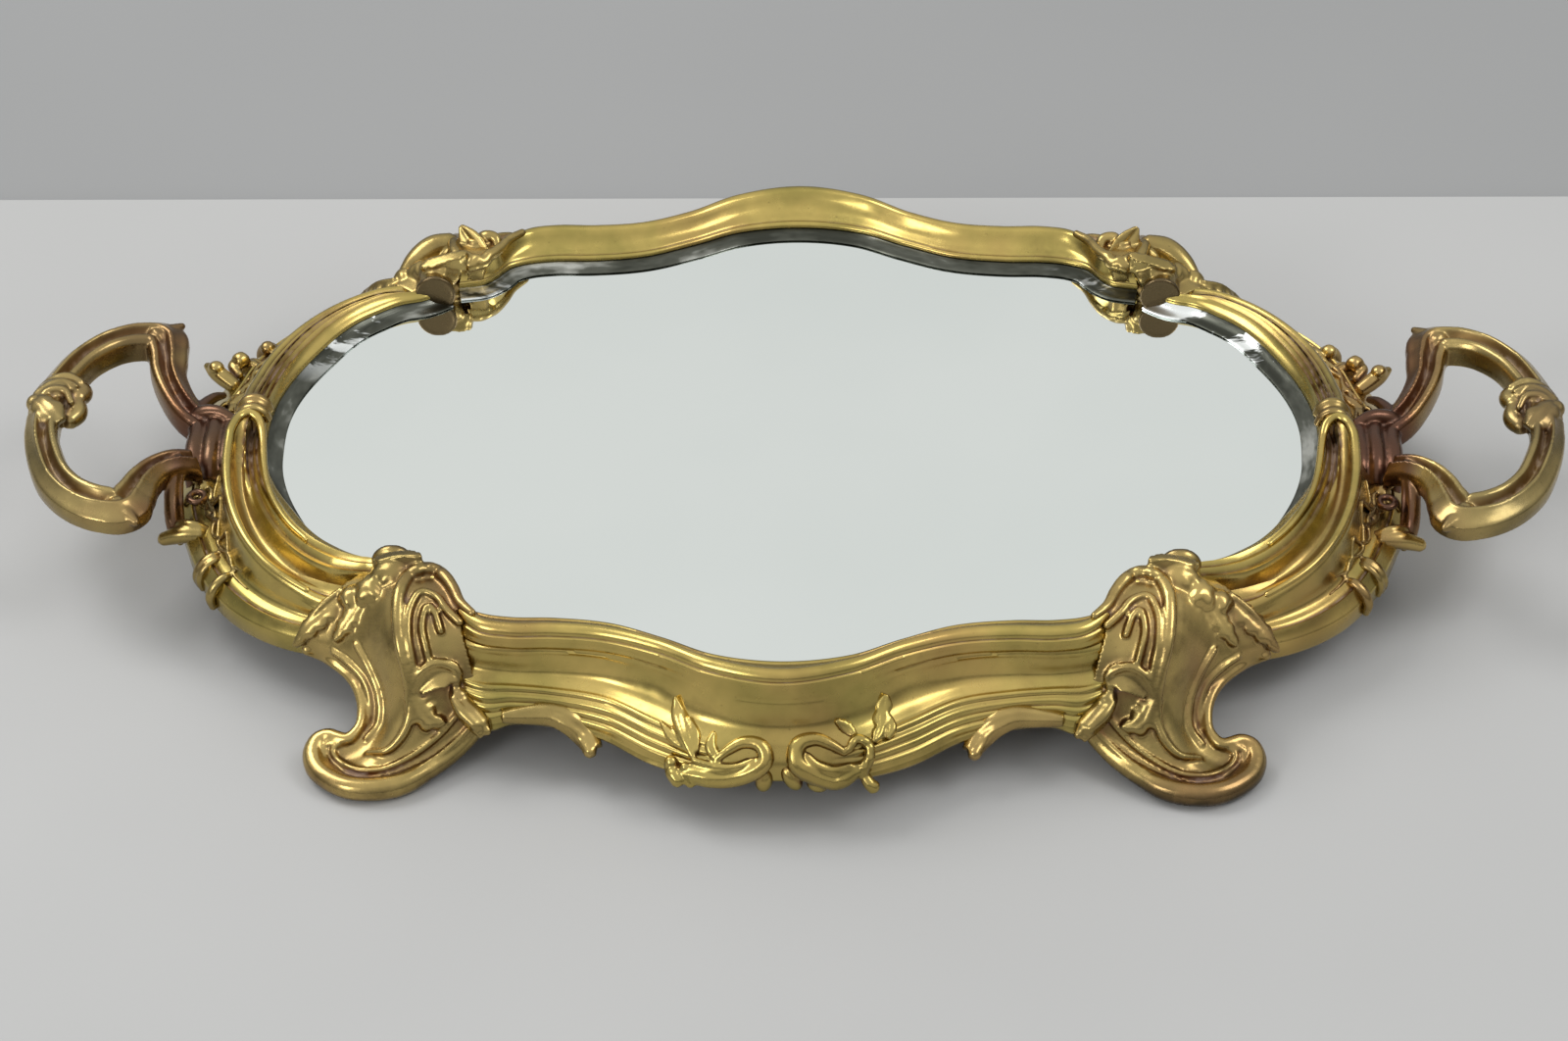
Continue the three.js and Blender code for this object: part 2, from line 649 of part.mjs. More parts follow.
// The round stub that leans in over the glass, and the curl at the toe's outer end.
function stub() {
  const geometry = new THREE.CylinderGeometry(STUB_RADIUS, STUB_RADIUS * 1.15, 9, 14);
  geometry.rotateZ(Math.PI / 8).translate(RAIL_END_X + 7, -CORNER_Y + 8, LIP_TOP_Z - 1);
  return tidy(geometry.rotateX(0));
}

function toeCurl() {
  return rod(6, PAD_THICKNESS + STACK_GAP, 8, LEG_NEAR_X + 25, -CORNER_Y - 36, 12);
}

function foot() {
  const rings = FOOT_SLICES.map(({ x, back, front, top, bottom }) => {
    const bevel = Math.min((back - front) / 5, (top - bottom) / 3);
    return [
      v2(back, bottom),
      v2(back, top - bevel),
      v2(back - bevel, top),
      v2(front + 2 * bevel, top),
      v2(front, bottom + bevel),
      v2(front + bevel * HALF, bottom),
    ].map((q) => new THREE.Vector3(LEG_NEAR_X + x, q.x - CORNER_Y, q.y));
  });
  return loft(rings, rings[0].map((p) => v2(p.y, p.z)));
}

function leg() {
  const rings = LEG_SLICES.map(legSlice);
  const body = loft(rings, rings[0].map((p) => v2(p.x, p.z)));
  const whole = join(body, foot(), stub(), toeCurl());
  const glassSpace = plate(outlineAt(RABBET_DEPTH), BOSS_Z - 12, LEDGE_Z);
  const trimmed = cut(whole, sideRailSpace(), glassSpace);
  return join(trimmed, cleat());
}

const padPlace = v2(LEG_NEAR_X + 13, -CORNER_Y - 49);
const legShape = leg();
const padShape = rod(PAD_RADIUS, 0, PAD_THICKNESS, padPlace.x, padPlace.y, 20);
const cleatSeat = BOSS_Z - 2 * STACK_GAP - CLEAT_THICKNESS;
for (const [depthWord, sy] of [["front", 1], ["back", -1]]) {
  for (const [sideWord, sx] of [["right", 1], ["left", -1]]) {
    const place = `${depthWord}_${sideWord}`;
    add(`leg_${place}`, mirrored(legShape, sx, sy), gilt());
    add(`foot_pad_${place}`, mirrored(padShape, sx, sy), felt());
    for (const [index, p] of [railCleatHole, sideCleatHole].entries()) {
      const shape = screw(p.x, p.y, cleatSeat, CLEAT_THICKNESS + SCREW_GRIP - 1);
      add(`leg_screw_${place}_${index + 1}`, mirrored(shape, sx, sy), steel());
    }
  }
}

// ---- Handles -------------------------------------------------------------------------------------------------
// Half of the loop's centre line, from the knob in to the root: reach out from the rail's face, then y and z.
const RAIL_FACE_X = OPENING_HALF_LENGTH + SIDE_WIDTH;
const HANDLE_LINE = [
  [HANDLE_REACH, 0, 47],
  [HANDLE_REACH - 2, HANDLE_HALF_SPAN * 0.42, 46.5],
  [HANDLE_REACH - 8, HANDLE_HALF_SPAN * 0.74, 45.5],
  [HANDLE_REACH - 20, HANDLE_HALF_SPAN * 0.96, 44.5],
  [HANDLE_REACH - 31, HANDLE_HALF_SPAN, 43.5],
  [18, HANDLE_HALF_SPAN * 0.85, 43],
  [17, HANDLE_HALF_SPAN * 0.64, 41],
  [12, HANDLE_HALF_SPAN * 0.42, 37],
  [5, HANDLE_SCREW_Y + 1.8, 31],
  [1.6, HANDLE_SCREW_Y + 0.68, 27],
];

function handle() {
  const half = HANDLE_LINE.map(([x, y, z]) => new THREE.Vector3(RAIL_FACE_X + STACK_GAP + x, -y, z));
  const mirroredHalf = half.slice(1).map((p) => new THREE.Vector3(p.x, -p.y, p.z));
  const line = new THREE.CatmullRomCurve3([...half.reverse(), ...mirroredHalf], false, "centripetal");
  const [a, b, c, d] = [HANDLE_BAR_WIDTH / 2, HANDLE_BAR_WIDTH / 4, HANDLE_BAR_HEIGHT / 2, HANDLE_BAR_HEIGHT / 4];
  const section = [v2(-a, -d), v2(-a, d), v2(-b, c), v2(b, c), v2(a, d), v2(a, -d), v2(b, -c), v2(-b, -c)];
  const rings = steps(0, 1, 28).map((t) => {
    const [p, tangent] = [line.getPoint(t), line.getTangent(t)];
    const across = v2(tangent.y, -tangent.x).normalize();
    return section.map((q) => new THREE.Vector3(p.x + across.x * q.x, p.y + across.y * q.x, p.z + q.y));
  });
  const bar = loft(rings, section);
  const knob = new THREE.SphereGeometry(7, 10, 6).scale(0.8, 1.1, 1);
  knob.translate(RAIL_FACE_X + HANDLE_REACH + 2.6, 0, 48);
  const rootWidth = 2 * (HANDLE_SCREW_Y + 7);
  const face = RAIL_FACE_X + STACK_GAP;
  const root = new THREE.BoxGeometry(HANDLE_PLATE, rootWidth, 15);
  root.translate(face + HANDLE_PLATE / 2, 0, HANDLE_SCREW_Z + 0.5);
  const railSpace = new THREE.BoxGeometry(20, 80, 60);
  railSpace.translate(face - 10, 0, 30);
  const bores = [1, -1].map((sy) => crossBore(SCREW_RADIUS + HOLE_GAP, face - 7, face + 7, sy));
  return cut(join(bar, tidy(knob), tidy(root)), tidy(railSpace), ...bores);
}

// A handle screw lies along X, with its head inside the hollow side rail.
function handleScrew(sy) {
  const shape = screw(0, 0, 0, WALL + HANDLE_PLATE + 2);
  shape.rotateY(Math.PI / 2);
  return shape.translate(RAIL_FACE_X - WALL - STACK_GAP, sy * HANDLE_SCREW_Y, HANDLE_SCREW_Z);
}

const handleShape = handle();
for (const [word, sx] of [["right", 1], ["left", -1]]) {
  add(`handle_${word}`, mirrored(handleShape, sx, 1), handleGilt());
  for (const [place, sy] of [["front", -1], ["back", 1]]) {
    add(`handle_screw_${word}_${place}`, mirrored(handleScrew(sy), sx, 1), steel());
  }
}

// ---- Turn buttons that hold the backing board ------------------------------------------------------------------
// A flat bar with round ends and a hole at its tail, pointing in over the board along (dx, dy).
function turnButton(pivot, inwards) {
  const shape = new THREE.Shape();
  shape.absarc(0, 0, BUTTON_RADIUS, Math.PI / 2, (3 * Math.PI) / 2, false);
  shape.absarc(BUTTON_REACH, 0, BUTTON_RADIUS, -Math.PI / 2, Math.PI / 2, false);
  const bore = new THREE.Path();
  bore.absarc(0, 0, SCREW_RADIUS + HOLE_GAP, 0, 2 * Math.PI, true);
  shape.holes.push(bore);
  const geometry = new THREE.ExtrudeGeometry(shape, {
    depth: BUTTON_THICKNESS,
    bevelEnabled: false,
    curveSegments: 5,
  });
  geometry.rotateZ(Math.atan2(inwards.y, inwards.x));
  return tidy(geometry.translate(pivot.x, pivot.y, BUTTON_TOP_Z - BUTTON_THICKNESS));
}

const buttonSeat = BUTTON_TOP_Z - BUTTON_THICKNESS - STACK_GAP;
const buttonPlaces = [
  ["front_right", flankPivot, v2(0, 1)],
  ["front_left", v2(-flankPivot.x, flankPivot.y), v2(0, 1)],
  ["back_right", v2(flankPivot.x, -flankPivot.y), v2(0, -1)],
  ["back_left", v2(-flankPivot.x, -flankPivot.y), v2(0, -1)],
  ["right", sidePivot, v2(-1, 0)],
  ["left", v2(-sidePivot.x, 0), v2(1, 0)],
];
for (const [place, pivot, inwards] of buttonPlaces) {
  add(`turn_button_${place}`, turnButton(pivot, inwards), brass());
  const grip = BUTTON_THICKNESS + SCREW_GRIP - 1;
  add(`turn_button_screw_${place}`, screw(pivot.x, pivot.y, buttonSeat, grip), steel());
}

export default tray;
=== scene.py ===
"""Dresser vanity tray: the finished look of the cast gilt frame, its legs, handles and mirror.

Places are worked out in millimetres, in the tray's own frame (+X right, -Y front, +Z up), and turned to
metres when a mesh is made. One quarter, the front right, is drawn; the others are its mirror images.
"""
import math

import bpy
import numpy as np
from mathutils import Euler, Matrix, Vector
from mathutils.bvhtree import BVHTree


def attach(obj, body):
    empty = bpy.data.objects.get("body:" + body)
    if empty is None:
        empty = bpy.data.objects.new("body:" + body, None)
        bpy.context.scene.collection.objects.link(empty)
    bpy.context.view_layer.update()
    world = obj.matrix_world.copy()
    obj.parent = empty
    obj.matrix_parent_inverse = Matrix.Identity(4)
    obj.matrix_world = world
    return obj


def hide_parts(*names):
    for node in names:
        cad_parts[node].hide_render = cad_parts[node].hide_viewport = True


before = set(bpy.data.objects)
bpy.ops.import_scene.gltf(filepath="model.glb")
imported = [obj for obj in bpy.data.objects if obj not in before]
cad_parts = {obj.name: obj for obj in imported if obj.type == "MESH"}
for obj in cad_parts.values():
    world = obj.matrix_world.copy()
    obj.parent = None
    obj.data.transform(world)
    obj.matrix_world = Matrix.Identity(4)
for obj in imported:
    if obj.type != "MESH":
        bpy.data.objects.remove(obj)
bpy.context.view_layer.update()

MM = 0.001
BODY = "tray"


# ---- Camera ----
def set_camera():
    data = bpy.data.cameras.new("camera")
    data.lens = 98.62
    data.sensor_width = 36.0
    data.clip_start = 0.01
    data.clip_end = 50.0
    camera = bpy.data.objects.new("camera", data)
    right = Vector((0.99953158, 0.02663578, -0.01507168))
    up = Vector((-0.00453074, 0.61582926, 0.78786661))
    forward = Vector((-0.03026702, 0.78742927, -0.61566148))
    camera.matrix_world = Matrix.Translation(Vector((0.040927, -1.144297, 0.897299))) @ Matrix(
        (right, up, -forward)
    ).transposed().to_4x4()
    bpy.context.collection.objects.link(camera)
    bpy.context.scene.camera = camera


# ---- Materials ----
class Finish:
    """A material and the short ways of adding nodes to it."""

    def __init__(self, name):
        self.material = bpy.data.materials.new(name)
        self.material.use_nodes = True
        self.tree = self.material.node_tree
        self.shader = self.tree.nodes["Principled BSDF"]
        self.place = self.node("ShaderNodeTexCoord").outputs["Object"]

    def node(self, kind, **settings):
        made = self.tree.nodes.new(kind)
        for name, value in settings.items():
            setattr(made, name, value)
        return made

    def wire(self, source, target):
        self.tree.links.new(source, target)

    def feed(self, socket, value):
        """Sets a socket to a number or a colour, or wires an output to it."""
        if isinstance(value, (int, float)):
            socket.default_value = value
        elif isinstance(value, tuple):
            socket.default_value = (*value, 1)
        else:
            self.wire(value, socket)

    def axes(self):
        """The place's X, Y and Z, each as a number."""
        split = self.node("ShaderNodeSeparateXYZ")
        self.wire(self.place, split.inputs[0])
        return split.outputs

    def far(self, axis):
        """The distance from the middle along one axis, either way."""
        return self.math("ABSOLUTE", axis, 0)

    def times(self, first, second):
        return self.math("MULTIPLY", first, second)

    def stretch(self, scale, turn=(0, 0, 0)):
        mapping = self.node("ShaderNodeMapping")
        mapping.inputs["Scale"].default_value = scale
        mapping.inputs["Rotation"].default_value = turn
        self.wire(self.place, mapping.inputs["Vector"])
        return mapping.outputs["Vector"]

    def noise(self, scale, detail=3.0, rough=0.55, where=None):
        made = self.node("ShaderNodeTexNoise")
        made.inputs["Scale"].default_value = scale
        made.inputs["Detail"].default_value = detail
        made.inputs["Roughness"].default_value = rough
        self.wire(where or self.place, made.inputs["Vector"])
        return made.outputs["Fac"]

    def ramp(self, value, *stops):
        made = self.node("ShaderNodeValToRGB")
        points = made.color_ramp.elements
        while len(points) < len(stops):
            points.new(0.5)
        for point, (at, colour) in zip(points, stops):
            point.position = at
            point.color = (*colour, 1) if len(colour) == 3 else colour
        self.wire(value, made.inputs["Fac"])
        return made.outputs["Color"]

    def band(self, value, low, high, start=0.0, end=1.0):
        made = self.node("ShaderNodeMapRange", clamp=True)
        for socket, number in zip(made.inputs[1:5], (low, high, start, end)):
            socket.default_value = number
        self.wire(value, made.inputs["Value"])
        return made.outputs["Result"]

    def math(self, how, first, second):
        made = self.node("ShaderNodeMath", operation=how, use_clamp=True)
        for socket, value in zip(made.inputs, (first, second)):
            self.feed(socket, value)
        return made.outputs["Value"]

    def mix(self, share, first, second):
        made = self.node("ShaderNodeMix", data_type="RGBA")
        for socket, value in ((made.inputs[0], share), (made.inputs[6], first), (made.inputs[7], second)):
            self.feed(socket, value)
        return made.outputs[2]

    def recess(self, reach, low, high):
        """1 in hollows narrower than reach, 0 on open faces."""
        made = self.node("ShaderNodeAmbientOcclusion", samples=8, only_local=True)
        made.inputs["Distance"].default_value = reach
        return self.band(made.outputs["AO"], low, high, 1.0, 0.0)

    def bump(self, height, strength, distance):
        made = self.node("ShaderNodeBump")
        made.inputs["Strength"].default_value = strength
        made.inputs["Distance"].default_value = distance
        self.wire(height, made.inputs["Height"])
        self.wire(made.outputs["Normal"], self.shader.inputs["Normal"])

    def set(self, **values):
        for name, value in values.items():
            self.feed(self.shader.inputs[name.replace("_", " ")], value)
        return self.material


# Colours that dull the gilt.
TARNISH = (0.10, 0.065, 0.03)
HOLLOW_RED = (0.135, 0.055, 0.030)
DUST = (0.60, 0.49, 0.43)
SPECK = (0.06, 0.035, 0.015)
ROOT_RED = (0.15, 0.058, 0.034)
ROOT_SHADE = (0.115, 0.062, 0.042)
STUB_FACE = (0.12, 0.085, 0.048)
LOW_FOOT_BROWN = (0.085, 0.06, 0.032)


def redden_root(f, body, red):
    """Copper red on the handle's root and up to where the bar leaves it, by the distance out in metres."""
    out = f.far(f.axes()["X"])
    body = f.mix(f.times(f.band(out, 0.202, 0.222, 1.0, 0.1), f.band(red, 0.36, 0.56)), body, ROOT_RED)
    return f.mix(f.band(out, 0.2025, 0.207, 0.85, 0.0), body, ROOT_SHADE)


def darken_foot(f, body, dark):
    """Brown on the stub's face towards the mirror, and darker brown in patches towards the table."""
    x, y, z = f.axes()[:3]
    face = f.times(f.band(f.far(y), 0.0750, 0.0762, 0.9, 0.0), f.band(f.far(x), 0.134, 0.136, 1.0, 0.0))
    body = f.mix(face, body, STUB_FACE)
    low = f.band(z, 0.0035, 0.0085, 1.0, 0.0)
    return f.mix(f.times(low, f.band(dark, 0.38, 0.56)), body, LOW_FOOT_BROWN)


def gilt(name, bright, olive, copper, copper_share, tarnish_share, polish, hollow_share=0.82, red_root=False,
        dark_foot=False):
    """Old gilt on a copper-red casting: rubbed bright, olive where dulled, red and dusty in the hollows."""
    f = Finish(name)
    patches = f.noise(26, 4, 0.6)
    fine = f.noise(190, 3, 0.6)
    body = f.mix(f.band(patches, 0.36, 0.66), bright, olive)
    red = f.noise(17, 3, 0.6)
    body = f.mix(f.times(f.band(red, 0.5, 0.68), copper_share), body, copper)
    dark = f.noise(38, 5, 0.62)
    body = f.mix(f.times(f.band(dark, 0.58, 0.72), tarnish_share), body, TARNISH)
    if red_root:
        body = redden_root(f, body, red)
    if dark_foot:
        body = darken_foot(f, body, dark)
    hollow = f.recess(0.006, 0.55, 0.88)
    body = f.mix(f.times(hollow, hollow_share), body, HOLLOW_RED)
    deep = f.recess(0.0028, 0.35, 0.72)
    dust = f.times(deep, f.band(fine, 0.42, 0.62))
    body = f.mix(f.times(dust, 0.62), body, DUST)
    specks = f.band(f.noise(900, 2, 0.5), 0.71, 0.78)
    body = f.mix(f.times(specks, 0.5), body, SPECK)
    rough = f.band(fine, 0.25, 0.75, polish, polish + 0.14)
    rough = f.math("ADD", rough, f.times(hollow, 0.18))
    rough = f.math("ADD", rough, f.times(dust, 0.3))
    f.bump(f.noise(150, 4, 0.55), 0.06, 0.0005)
    metal = f.band(dust, 0.0, 1.0, 1.0, 0.35)
    return f.set(Base_Color=body, Metallic=metal, Roughness=rough)


def make_finishes():
    made = {}
    made["cast_gilt"] = gilt("cast_gilt", (0.60, 0.445, 0.14), (0.34, 0.275, 0.080), (0.34, 0.17, 0.075), 0.4,
        0.35, 0.17)
    made["leg_gilt"] = gilt("leg_gilt", (0.50, 0.36, 0.13), (0.27, 0.205, 0.075), (0.24, 0.11, 0.06), 0.6, 0.6,
        0.19, dark_foot=True)
    made["handle_gilt"] = gilt("handle_gilt", (0.46, 0.345, 0.135), (0.245, 0.190, 0.082), (0.20, 0.10, 0.06),
        0.45, 0.6, 0.20, 0.5, red_root=True)

    f = Finish("bezel_metal")
    streak = f.noise(60, 4, 0.65, f.stretch((0.35, 0.35, 3.2)))
    colour = f.ramp(streak, (0.40, (0.050, 0.052, 0.042)), (0.52, (0.115, 0.118, 0.098)),
        (0.62, (0.46, 0.46, 0.42)))
    # Bright silver streaks along the back, away from the middle: a painted reflection of the lamps on the
    # strip.
    x, y = f.axes()[:2]
    shine = f.times(f.band(y, 0.028, 0.05), f.band(f.far(x), 0.085, 0.12))
    reflection_streaks = f.band(f.noise(48, 5, 0.7, f.stretch((0.35, 1.5, 1.5), (0, 0, 0.55))), 0.50, 0.56)
    colour = f.mix(f.times(shine, reflection_streaks), colour, (0.86, 0.88, 0.87))
    f.bump(streak, 0.35, 0.0008)
    made["bezel_metal"] = f.set(Base_Color=colour, Metallic=1.0, Roughness=f.band(streak, 0.4, 0.7, 0.34, 0.18))

    f = Finish("mirror")
    haze = f.noise(9, 3, 0.5)
    colour = f.mix(f.band(haze, 0.4, 0.7), (0.86, 0.89, 0.87), (0.83, 0.865, 0.845))
    made["mirror"] = f.set(Base_Color=colour, Metallic=1.0,
        Roughness=f.band(f.noise(40), 0.4, 0.8, 0.012, 0.03))

    f = Finish("card")
    fibre = f.noise(420, 4, 0.7)
    colour = f.ramp(fibre, (0.3, (0.27, 0.20, 0.13)), (0.7, (0.42, 0.33, 0.22)))
    f.bump(fibre, 0.3, 0.0003)
    made["card"] = f.set(Base_Color=colour, Roughness=0.92)

    f = Finish("board")
    grain = f.noise(70, 5, 0.6, f.stretch((0.12, 1.6, 1.6)))
    colour = f.ramp(grain, (0.3, (0.13, 0.075, 0.038)), (0.7, (0.27, 0.165, 0.088)))
    f.bump(grain, 0.25, 0.0004)
    made["board"] = f.set(Base_Color=colour, Roughness=f.band(grain, 0.3, 0.7, 0.55, 0.75))

    f = Finish("button_brass")
    rub = f.noise(240, 3, 0.6, f.stretch((1, 0.15, 1)))
    colour = f.ramp(rub, (0.3, (0.40, 0.27, 0.09)), (0.7, (0.62, 0.44, 0.17)))
    made["button_brass"] = f.set(Base_Color=colour, Metallic=1.0, Roughness=f.band(rub, 0.3, 0.7, 0.28, 0.42))

    f = Finish("steel")
    rub = f.noise(500, 3, 0.6)
    colour = f.ramp(rub, (0.35, (0.20, 0.18, 0.16)), (0.7, (0.42, 0.41, 0.39)))
    made["steel"] = f.set(Base_Color=colour, Metallic=1.0, Roughness=f.band(rub, 0.3, 0.7, 0.32, 0.5))

    f = Finish("felt")
    pile = f.noise(1500, 3, 0.7)
    colour = f.ramp(pile, (0.3, (0.02, 0.045, 0.028)), (0.7, (0.05, 0.10, 0.06)))
    f.bump(pile, 0.5, 0.0004)
    made["felt"] = f.set(Base_Color=colour, Roughness=0.97)
    return made


# ---- Drawing ----
def through(points, count):
    """A smooth line through points with any number of columns, in count even steps."""
    p = np.asarray(points, float)
    gap = np.maximum(np.linalg.norm(np.diff(p[:, : min(3, p.shape[1])], axis=0), axis=1), 1e-6)
    t = np.concatenate([[0], np.cumsum(gap)])
    return spline(t, p, np.linspace(0, t[-1], count))


def spline(t, p, at):
    """Cubic through the rows of p, which stand at t, read at the places in at."""
    t = np.asarray(t, float)
    p = np.asarray(p, float)
    at = np.asarray(at, float)
    h = np.diff(t)
    slope = np.diff(p, axis=0) / h[:, None]
    m = np.empty_like(p)
    m[0] = slope[0]
    m[-1] = slope[-1]
    if len(t) > 2:
        w = (h[1:] / (h[:-1] + h[1:]))[:, None]
        m[1:-1] = slope[:-1] * w + slope[1:] * (1 - w)
    i = np.clip(np.searchsorted(t, at, side="right") - 1, 0, len(h) - 1)
    u = ((at - t[i]) / h[i])[:, None]
    hi = h[i][:, None]
    return (
        (2 * u**3 - 3 * u**2 + 1) * p[i]
        + (u**3 - 2 * u**2 + u) * hi * m[i]
        + (-2 * u**3 + 3 * u**2) * p[i + 1]
        + (u**3 - u**2) * hi * m[i + 1]
    )


def unit(v):
    v = np.asarray(v, float)
    return v / np.maximum(np.linalg.norm(v, axis=-1, keepdims=True), 1e-9)


def loft(rings):
    """A skin over rings of the same number of points, closed at both ends."""
    rings = np.asarray(rings, float)
    n, m = rings.shape[:2]
    faces = []
    for a in range(0, (n - 1) * m, m):
        for j in range(m):
            k = (j + 1) % m
            faces.append((a + j, a + k, a + m + k, a + m + j))
    faces.append(tuple(range(m - 1, -1, -1)))
    faces.append(tuple(range((n - 1) * m, n * m)))
    return rings.reshape(-1, 3), faces


def sides_of(path):
    """Directions along, across and up for each point of a path, without twist."""
    along = unit(np.gradient(path, axis=0))
    across = np.empty_like(path)
    start = np.array([0, 0, 1.0]) if abs(along[0][2]) < 0.85 else np.array([0, 1.0, 0])
    side = unit(np.cross(along[0], start))
    for i, tangent in enumerate(along):
        side = unit(side - tangent * np.dot(side, tangent))
        across[i] = side
    return along, across, unit(np.cross(across, along))


def tube(points, radius, steps=None, sides=10):
    """A round rod along points; radius is one number or one for each point, with rounded ends."""
    p = np.asarray(points, float)
    r = np.full(len(p), float(radius)) if np.isscalar(radius) else np.asarray(radius, float)
    length = np.linalg.norm(np.diff(p, axis=0), axis=1).sum()
    steps = steps or max(8, int(length / 1.1))
    rows = through(np.column_stack([p, r]), steps)
    path, r = rows[:, :3], np.maximum(rows[:, 3], 0.15)
    along, across, up = sides_of(path)
    centres = np.vstack([[path[0] - along[0] * r[0] * 0.6], path, [path[-1] + along[-1] * r[-1] * 0.6]])
    widths = np.concatenate([[r[0] * 0.55], r, [r[-1] * 0.55]])
    across = np.vstack([across[:1], across, across[-1:]])
    up = np.vstack([up[:1], up, up[-1:]])
    angle = np.linspace(0, 2 * np.pi, sides, endpoint=False)
    rings = [
        c + w * (np.cos(angle)[:, None] * a + np.sin(angle)[:, None] * b)
        for c, w, a, b in zip(centres, widths, across, up)
    ]
    return loft(rings)


def ball(centre, size, turn=(0, 0, 0), lobes=0, depth=0.0):
    """An egg or a scalloped ball: half-sizes in size, turned by angles, with lobes round its own axis."""
    bpy.ops.mesh.primitive_uv_sphere_add(segments=24, ring_count=14, radius=1.0, location=(0, 0, 0))
    made = bpy.context.object
    mesh = made.data
    spin = Euler(turn).to_matrix()
    points = []
    for v in mesh.vertices:
        x, y, z = v.co
        angle = math.atan2(y, x)
        swell = 1.0 - depth * (0.5 - 0.5 * math.cos(lobes * angle)) if lobes else 1.0
        points.append(spin @ Vector((x * swell * size[0], y * swell * size[1], z * size[2])) + Vector(centre))
    faces = [tuple(p.vertices) for p in mesh.polygons]
    bpy.data.objects.remove(made)
    bpy.data.meshes.remove(mesh)
    return np.array([tuple(p) for p in points]), faces


def blade(spine, widths, thick, cup=0.0, up=(0, -0.5, 0.8), notch=0, notch_depth=0.25):
    """A leaf: a spine of points, half-widths at them, a thickness, a cupped face and a toothed edge."""
    p = np.asarray(spine, float)
    steps = max(14, int(np.linalg.norm(np.diff(p, axis=0), axis=1).sum() / 0.7))
    rows = through(np.column_stack([p, widths]), steps)
    path, half = rows[:, :3], np.maximum(rows[:, 3], 0.35)
    if notch:
        wave = np.abs(np.sin(np.linspace(0, np.pi * notch, steps)))
        half = half * (1 - notch_depth + notch_depth * wave)
    along = unit(np.gradient(path, axis=0))
    face = np.asarray(up, float)
    across = unit(np.cross(along, face))
    out = unit(np.cross(across, along))
    rings = []
    for c, w, a, o in zip(path, half, across, out):
        ring = []
        for s in (-1, -0.7, -0.35, -0.08, 0.08, 0.35, 0.7, 1):
            lift = thick * 0.5 * (1 - s * s * 0.6) + cup * s * s + (-0.25 if abs(s) < 0.1 else 0.12)
            ring.append(c + a * w * s + o * lift)
        for s in (1, 0.5, 0, -0.5, -1):
            ring.append(c + a * w * s * 0.96 + o * (cup * s * s - thick * 0.5))
        rings.append(ring)
    return loft(rings)


def swelling(radius, count):
    """A radius for each of count points: one number, or a few spread evenly along the line."""
    if np.isscalar(radius):
        return radius
    return np.interp(np.linspace(0, 1, count), np.linspace(0, 1, len(radius)), radius)


def mirrored(parts, sx=1, sy=1):
    turn = np.array([sx, sy, 1.0])
    flip = sx * sy < 0
    return [(v * turn, [f[::-1] for f in faces] if flip else faces) for v, faces in parts]


def join_parts(parts):
    verts, faces, start = [], [], 0
    for v, f in parts:
        verts.append(v)
        faces += [tuple(i + start for i in face) for face in f]
        start += len(v)
    return np.vstack(verts), faces


def clear_selection():
    if bpy.context.mode != "OBJECT":
        bpy.ops.object.mode_set(mode="OBJECT")
    bpy.ops.object.select_all(action="DESELECT")


def pick(piece):
    clear_selection()
    piece.select_set(True)
    bpy.context.view_layer.objects.active = piece


def make_piece(name, parts, angle=40):
    """A mesh object from closed parts, in metres, with its faces turned outwards."""
    verts, faces = join_parts(parts)
    mesh = bpy.data.meshes.new(name)
    mesh.from_pydata((verts * MM).tolist(), [], faces)
    mesh.update()
    piece = bpy.data.objects.new(name, mesh)
    bpy.context.collection.objects.link(piece)
    pick(piece)
    bpy.ops.object.mode_set(mode="EDIT")
    bpy.ops.mesh.select_all(action="SELECT")
    bpy.ops.mesh.normals_make_consistent(inside=False)
    bpy.ops.object.mode_set(mode="OBJECT")
    bpy.ops.object.shade_smooth_by_angle(angle=math.radians(angle))
    return piece


def cast_in_one(piece, grain, rounds, strength=0.5):
    """Runs the parts of a piece together into one skin, as a casting, and eases its inner corners."""
    pick(piece)
    melt = piece.modifiers.new("melt", "REMESH")
    melt.mode = "VOXEL"
    melt.voxel_size = grain * MM
    melt.use_smooth_shade = True
    ease = piece.modifiers.new("ease", "SMOOTH")
    ease.factor = strength
    ease.iterations = rounds
    bpy.ops.object.modifier_apply(modifier="melt")
    bpy.ops.object.modifier_apply(modifier="ease")
    bpy.ops.object.shade_smooth()
    return piece


def copy_of(piece, name, sx, sy):
    """A mirror image of a finished piece with its own mesh."""
    made = piece.copy()
    made.data = piece.data.copy()
    made.name = name
    made.data.name = name
    bpy.context.collection.objects.link(made)
    made.data.transform(Matrix.Diagonal((sx, sy, 1, 1)))
    if sx * sy < 0:
        made.data.flip_normals()
    return made


# Ornaments are pressed on from the front and above.
PRESS = unit(np.array([0.0, 0.787, -0.616]))


class Bed:
    """A body that ornaments are pressed onto along one direction, from the front and above."""

    def __init__(self, parts):
        verts, faces = join_parts(parts)
        self.tree = BVHTree.FromPolygons(verts.tolist(), faces)

    def press(self, points, lift=0.0, along=PRESS, reach=30):
        out = []
        for p in np.asarray(points, float):
            rest = p[3:]
            hit, _, _, _ = self.tree.ray_cast(Vector(p[:3] - along * reach), Vector(along), reach * 2)
            q = np.array(hit) - along * lift if hit is not None else p[:3]
            out.append(np.concatenate([q, rest]))
        return np.array(out)


# ---- The opening's edge ----
def bezier(a, b, c, d, t):
    t = np.asarray(t, float)[:, None]
    a, b, c, d = (np.asarray(p, float) for p in (a, b, c, d))
    return a * (1 - t) ** 3 + b * 3 * t * (1 - t) ** 2 + c * 3 * t**2 * (1 - t) + d * t**3


